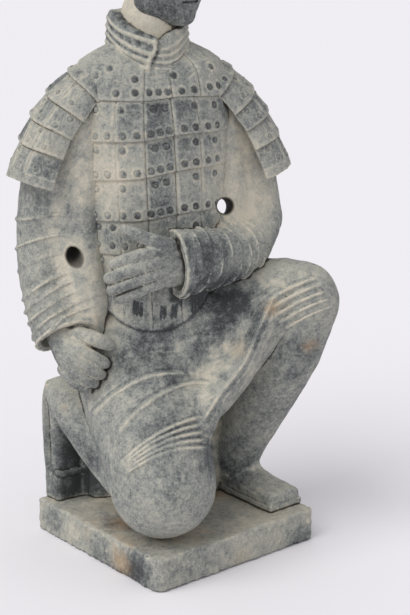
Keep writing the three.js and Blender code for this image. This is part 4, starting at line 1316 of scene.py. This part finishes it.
def clay_material(name, colours, rough, grain):
    """Fired clay: grey body, beige dusting in hollows and on ledges, worn edges, fine grain; painted shade
    in recesses, seams and holes, and painted light on the neck.
    """
    clay = Shading(name)
    level = clay.scaled(clay.noise(30, 3, 0.5), -0.81, 0.4)
    for scale, detail, broken, gain in ((100, 5, 0.7, 0.5), (290, 4, 0.7, 0.7), (760, 5, 0.8, 1.0)):
        level = clay.added(level, clay.scaled(clay.noise(scale, detail, broken), 0.5, gain))
    level = clay.added(level, clay.scaled(clay.mask("dust"), 0.25, 0.42))
    level = clay.added(level, clay.scaled(clay.mask("tone"), 0.15, -0.55))
    stained = clay.mixed(clay.ramp(clay.mask("ochre"), 0.1, 0.9), clay.hues(level, colours["ramp"]),
                         colours["ochre"])
    shaded = clay.mixed(clay.ramp(clay.mask("shade"), 0.25, 1.0, 0, 0.8), stained, colours["deep"])
    flecks = clay.ramp(clay.noise(700, 3, 0.6), 0.66, 0.74, 0, 0.5)
    flecked = clay.mixed(flecks, shaded, colours["speck"])
    pits = clay.ramp(clay.noise(430, 4, 0.65), 0.34, 0.27, 0, 0.5)
    inputs = clay.shader.inputs
    clay.links.new(clay.mixed(pits, flecked, colours["deep"]), inputs["Base Color"])
    inputs["Roughness"].default_value = rough
    inputs["Specular IOR Level"].default_value = 0.28
    dents = clay.nodes.new("ShaderNodeBump")
    dents.inputs["Strength"].default_value = 1.0
    dents.inputs["Distance"].default_value = grain
    coarse = clay.scaled(clay.noise(380, 5, 0.75), 0.5, 1.6)
    grit = clay.added(clay.scaled(clay.noise(1500, 5, 0.7), 0.5, 1.0), coarse)
    clay.links.new(grit, dents.inputs["Height"])
    clay.links.new(dents.outputs[0], inputs["Normal"])
    return clay.material


CLAY = {
    "ramp": [(0.05, (0.058, 0.062, 0.063)), (0.22, (0.130, 0.140, 0.139)), (0.38, (0.232, 0.244, 0.232)),
             (0.52, (0.335, 0.341, 0.308)), (0.70, (0.450, 0.438, 0.374)), (0.96, (0.60, 0.555, 0.455))],
    "ochre": (0.46, 0.30, 0.15), "deep": (0.045, 0.038, 0.030), "speck": (0.66, 0.64, 0.58),
}
MATERIALS = {
    "fired_clay": clay_material("fired_clay", CLAY, 0.82, 0.00012),
    "plinth_clay": clay_material("plinth_clay", CLAY, 0.88, 0.00016),
}

PLATE_TONES = {
    3: (0.0, 0.32, 0.9, 0.55, 0.25), 2: (-0.1, 0.16, 0.75, 0.4, 0.3), 1: (-0.1, 0.12, 0.65, 0.3, 0.2),
    4: (0.0, 0.1, 0.25, 0.25, 0.15), 0: (-0.2, 0.05, 0.3, 0.2, 0.1), -1: (-0.1, 0.3, 0.2, -0.2, 0.2),
}


def chest_masks(points, masks):
    left, front, up = local(points, BODY_AXIS, BODY_TURN)
    angle = np.arctan2(left, front)
    row, slot, above, below, lo, hi = plate_grid(angle, up)
    edge = np.minimum(np.minimum(lo, hi), np.minimum(np.where(row < 0, 9, above), below))
    first = int(np.searchsorted(np.sort(COLUMNS), COLUMNS[0]))
    tone = 0.15 + 0.15 * np.sin(row * 2.7 + slot * 1.9)
    for r, tones in PLATE_TONES.items():
        for k, value in enumerate(tones):
            tone = np.where((row == r) & (slot == first + k), value, tone)
    inner = ease((edge - 0.4) / 2.2)
    apron = ease((196 - up) / 6)
    broken = 0.5 + 0.5 * lumps(points, 7, 21)
    masks["tone"] = tone * (0.25 + 0.75 * inner) * (0.6 + 0.4 * ease(1 - below / 14))
    rim = 0.55 * broken * bump(edge - 1.3, 1.1) * (1 - 0.6 * apron)
    # On the apron, places that would take dusting are darkened instead: painted shade in its scratched lines
    # and hollows.
    masks["tone"] = masks["tone"] + 0.7 * apron * ease(masks["dust"] / 0.5)
    masks["dust"] = np.maximum(masks["dust"] * 0.55 * (1 - apron), rim) + 0.2 * apron
    masks["shade"] = np.maximum(masks["shade"], 0.85 * bump(edge, 0.45) * (1 - 0.25 * apron))


def guard_masks(clay, points, masks):
    tone, near = np.zeros(len(points)), np.full(len(points), 9.0)
    for shell in clay.shells:
        mine = (points @ (BODY_LEFT * shell.sign)) > (body(0, 0, 0) @ (BODY_LEFT * shell.sign))
        s, u, v, _, _, _ = shell.outer.locate(points[mine])
        row, slot, _, below, beside, _ = guard_grid(s, np.arctan2(v, u), shell.sign)
        near[mine] = np.minimum(beside, below)
        share = 0.2 + 0.3 * np.sin(row * 3.1 + slot * 2.3)
        tone[mine] = share * ease((np.minimum(beside, below) - 0.5) / 2.0)
    broken = 0.5 + 0.5 * lumps(points, 8, 22)
    masks["tone"] = tone
    masks["dust"] = np.maximum(masks["dust"] * 0.6, 0.6 * broken * bump(near - 1.2, 1.2))
    masks["shade"] = np.maximum(masks["shade"], 0.7 * bump(near, 0.45) * (0.35 + 0.65 * broken))


def collar_masks(clay, points, masks):
    _, _, angle, _, crest, share = clay.scarf.layers(points)
    crest = ease(crest / 0.9)
    # Painted shade: the hollows between the scarf's folds are darkened.
    hollow_shade = (1 - crest) * (0.3 + 0.7 * share) * ease((1.15 - np.abs(angle) / 110) * 3)
    broken = 0.75 + 0.35 * lumps(points, 9, 23)
    masks["tone"] = 0.8 * hollow_shade * broken
    masks["dust"] = 0.25 + 0.5 * crest * broken
    masks["shade"] = masks["shade"] * 0.8


ARM_HOLLOWS = [body(-44, 24, up) for up in (165, 190, 215, 240, 262)]
ARM_HOLLOWS += [body(44, 24, up) for up in (222, 250)]
SOFT_CREASES = [(place, 17, 0.9) for place in ARM_HOLLOWS]
HOLLOW_DUST = [(place, 20, 0.45) for place in ARM_HOLLOWS]


def scatter(seed, count, low, high, size, amount):
    """Stains set at seeded random places in a box, each with its own size and strength."""
    draw = np.random.default_rng(seed)
    return [(tuple(draw.uniform(low, high)), draw.uniform(0.7, 1.3) * size, draw.uniform(0.6, 1.4) * amount)
            for _ in range(count)]


STAIN_LOW, STAIN_HIGH = (-80, -65, 30), (75, 45, 270)
SLAB_LOW, SLAB_HIGH = (-65, -65, 0), (65, 65, PLINTH_TOP)
DARK_AND_SHADE_PATCHES = scatter(3, 90, STAIN_LOW, STAIN_HIGH, 14, 0.4)
# Painted shade under the lap, in the gap between the legs.
DARK_AND_SHADE_PATCHES += [(world(14, 0, up), 14, 0.9) for up in (38, 60, 86)]
# Painted shade in the recess behind the right foot.
DARK_AND_SHADE_PATCHES += [(world(-38, 48, up), 20, 0.8) for up in (30, 58)]
DUSTY_PATCHES = HOLLOW_DUST + scatter(5, 60, STAIN_LOW, STAIN_HIGH, 16, 0.3)
RUSTY_PATCHES = scatter(7, 60, STAIN_LOW, STAIN_HIGH, 8, 0.4)
SLAB_DARK = scatter(11, 30, SLAB_LOW, SLAB_HIGH, 12, 0.6)
SLAB_DUST = scatter(13, 20, SLAB_LOW, SLAB_HIGH, 10, 0.55)
SLAB_RUST = scatter(17, 14, SLAB_LOW, SLAB_HIGH, 12, 0.4)


def patches(points, spots):
    total = np.zeros(len(points))
    for place, size, amount in spots:
        away = np.linalg.norm(points - np.array(place, F32), axis=1) / size
        near = away < 2.6
        ragged = 1 + 0.22 * lumps(points[near], 0.9 * size, int(size))
        total[near] += amount * np.exp(-((away[near] * ragged) ** 2))
    return total


def figure_masks(clay, points):
    got = surface_masks(clay, points)
    sunk, proud, shelter = got["sunk"], got["proud"], got["shelter"]
    ledge = ease((got["lie"] - 0.72) / 0.25)
    plated = clay.name in ("chest", "guards")
    in_hollow, on_crest = (0.8, 0.6) if plated else (0.1, 1.1)
    dust = in_hollow * ease(sunk / 0.45) + on_crest * ease(proud / 0.4)
    dust = dust + 0.3 * ledge + 0.3 * ease(shelter / 0.8)
    # Away from the plates, sunk places are darkened: partly the clay's own darker grooves, partly painted
    # shade in them.
    tone = np.full(len(points), 0.1) + (0 if plated else 0.4) * ease((sunk - 0.08) / 0.4)
    masks = {"dust": dust, "tone": tone, "shade": ease(shelter / 0.9) * ease(sunk / 0.55)}
    if clay.name == "chest":
        chest_masks(points, masks)
    if clay.name == "guards":
        guard_masks(clay, points, masks)
    if clay.name == "collar":
        collar_masks(clay, points, masks)
    if clay.name == "robe":
        for fold in clay.folds:
            near = ((points > fold.low) & (points < fold.high)).all(1)
            stand = chunked(fold.amount, points[near]) if near.any() else np.zeros(0)
            # Fold crests get more dusting; the dip beside each fold is darkened as painted shade.
            dust[near] += 0.4 * ease(stand / 1.3)
            tone[near] += 0.15 * ease(-stand / 0.4)
    if hasattr(clay, "studs"):
        r = chunked(clay.studs.away, points)
        left, _, up = local(points, BODY_AXIS, BODY_TURN)
        strong = 0.35 + 0.65 * ease((left + 36) / 16) * ease((52 - left) / 12) * ease((up - 200) / 10)
        masks["tone"] = np.maximum(masks["tone"], 0.75 * strong * ease((1.2 - r) / 0.25))
        masks["dust"] = np.where(r < 1.1, 0.15, np.maximum(masks["dust"], 0.45 * bump(r - 1.75, 0.4)))
        masks["shade"] = np.maximum(masks["shade"], 0.7 * strong * bump(r - 1.2, 0.18))
    if clay.name == "head":
        masks["dust"], masks["tone"] = masks["dust"] * 0.3, masks["tone"] + 0.42
    masks["ochre"] = patches(points, RUSTY_PATCHES)
    # Painted light: the neck, which the head shades, is made much lighter and a little warmer.
    if clay.name == "neck":
        masks["dust"] = masks["dust"] + 1.0
        masks["ochre"] = masks["ochre"] + 0.16
    masks["shade"] = masks["shade"] * (1 - 0.75 * np.clip(patches(points, SOFT_CREASES), 0, 1))
    # Random dark patches, with painted shade under the lap and behind the right foot.
    masks["tone"] = masks["tone"] + patches(points, DARK_AND_SHADE_PATCHES)
    masks["dust"] = masks["dust"] + patches(points, DUSTY_PATCHES)
    for sign in (-1, 1):
        masks["shade"] = np.maximum(masks["shade"], bump(chunked(vent(sign).field, points), 1.4))
    return masks


def plinth_masks(clay, points):
    got = surface_masks(clay, points)
    ledge = ease((got["lie"] - 0.72) / 0.25)
    dust = 0.3 + 0.15 * ledge + 0.6 * ease(got["sunk"] / 0.5) + 0.5 * ease(got["proud"] / 0.4)
    shade = ease(got["shelter"] / 0.9) * ease(got["sunk"] / 0.6)
    tone = patches(points, SLAB_DARK) + 0.5 * ease((2.5 - points[:, 2]) / 3)
    rust = patches(points, SLAB_RUST) + 0.2 * ledge
    return {"dust": dust + patches(points, SLAB_DUST), "tone": tone, "ochre": rust, "shade": shade}


for make in (chest, guards, collar, head_clay, neck_clay, arms, robe, legs, plinth):
    one = make()
    CLAYS[one.name] = one

for one in list(CLAYS.values()):
    if one.name == "plinth":
        build(one, "plinth", "plinth_clay", plinth_masks)
    else:
        build(one, "kneeling_figure", "fired_clay", figure_masks)

# ---------------------------------------------------------------- stage
CAMERA_AT = (-595.43, -750.75, 431.17)
CAMERA_TURN, CAMERA_RISE = math.radians(-39.6), math.radians(16.1)
CAMERA_LENS, SENSOR_WIDTH = 92.43, 36
FLOOR_HALF = 6.0
FLOOR_COLOUR = (0.86, 0.85, 0.88, 1)
STUDIO_COLOUR, STUDIO_STRENGTH = (0.93, 0.92, 0.95, 1), 0.69


def add_camera():
    data = bpy.data.cameras.new("camera")
    camera = bpy.data.objects.new("camera", data)
    bpy.context.scene.collection.objects.link(camera)
    camera.location = [v * MM for v in CAMERA_AT]
    camera.rotation_euler = (math.pi / 2 - CAMERA_RISE, 0, CAMERA_TURN)
    data.lens = CAMERA_LENS
    data.sensor_width = SENSOR_WIDTH
    data.clip_start, data.clip_end = 0.01, 20
    bpy.context.scene.camera = camera


def add_floor():
    mesh = bpy.data.meshes.new("floor")
    corners = [(x * FLOOR_HALF, y * FLOOR_HALF, 0) for x, y in ((-1, -1), (1, -1), (1, 1), (-1, 1))]
    mesh.from_pydata(corners, [], [(0, 1, 2, 3)])
    floor = bpy.data.objects.new("floor", mesh)
    bpy.context.scene.collection.objects.link(floor)
    paint = bpy.data.materials.new("floor")
    paint.use_nodes = True
    shader = paint.node_tree.nodes["Principled BSDF"]
    shader.inputs["Base Color"].default_value = FLOOR_COLOUR
    shader.inputs["Roughness"].default_value = 0.8
    shader.inputs["Specular IOR Level"].default_value = 0.1
    mesh.materials.append(paint)


def add_studio():
    world_light = bpy.data.worlds.new("studio")
    world_light.use_nodes = True
    background = world_light.node_tree.nodes["Background"]
    background.inputs[0].default_value = STUDIO_COLOUR
    background.inputs[1].default_value = STUDIO_STRENGTH
    bpy.context.scene.world = world_light


def far_light(name, source, strength, spread, colour):
    data = bpy.data.lights.new(name, "SUN")
    data.energy, data.angle, data.color = strength, math.radians(spread), colour
    light = bpy.data.objects.new(name, data)
    light.rotation_euler = Vector(source).to_track_quat("Z", "Y").to_euler()
    bpy.context.scene.collection.objects.link(light)


add_camera()
add_floor()
add_studio()
far_light("key", (-0.84, 0.05, 1.04), 1.55, 45, (1.0, 0.985, 0.96))

bpy.context.scene.view_settings.view_transform = "Standard"
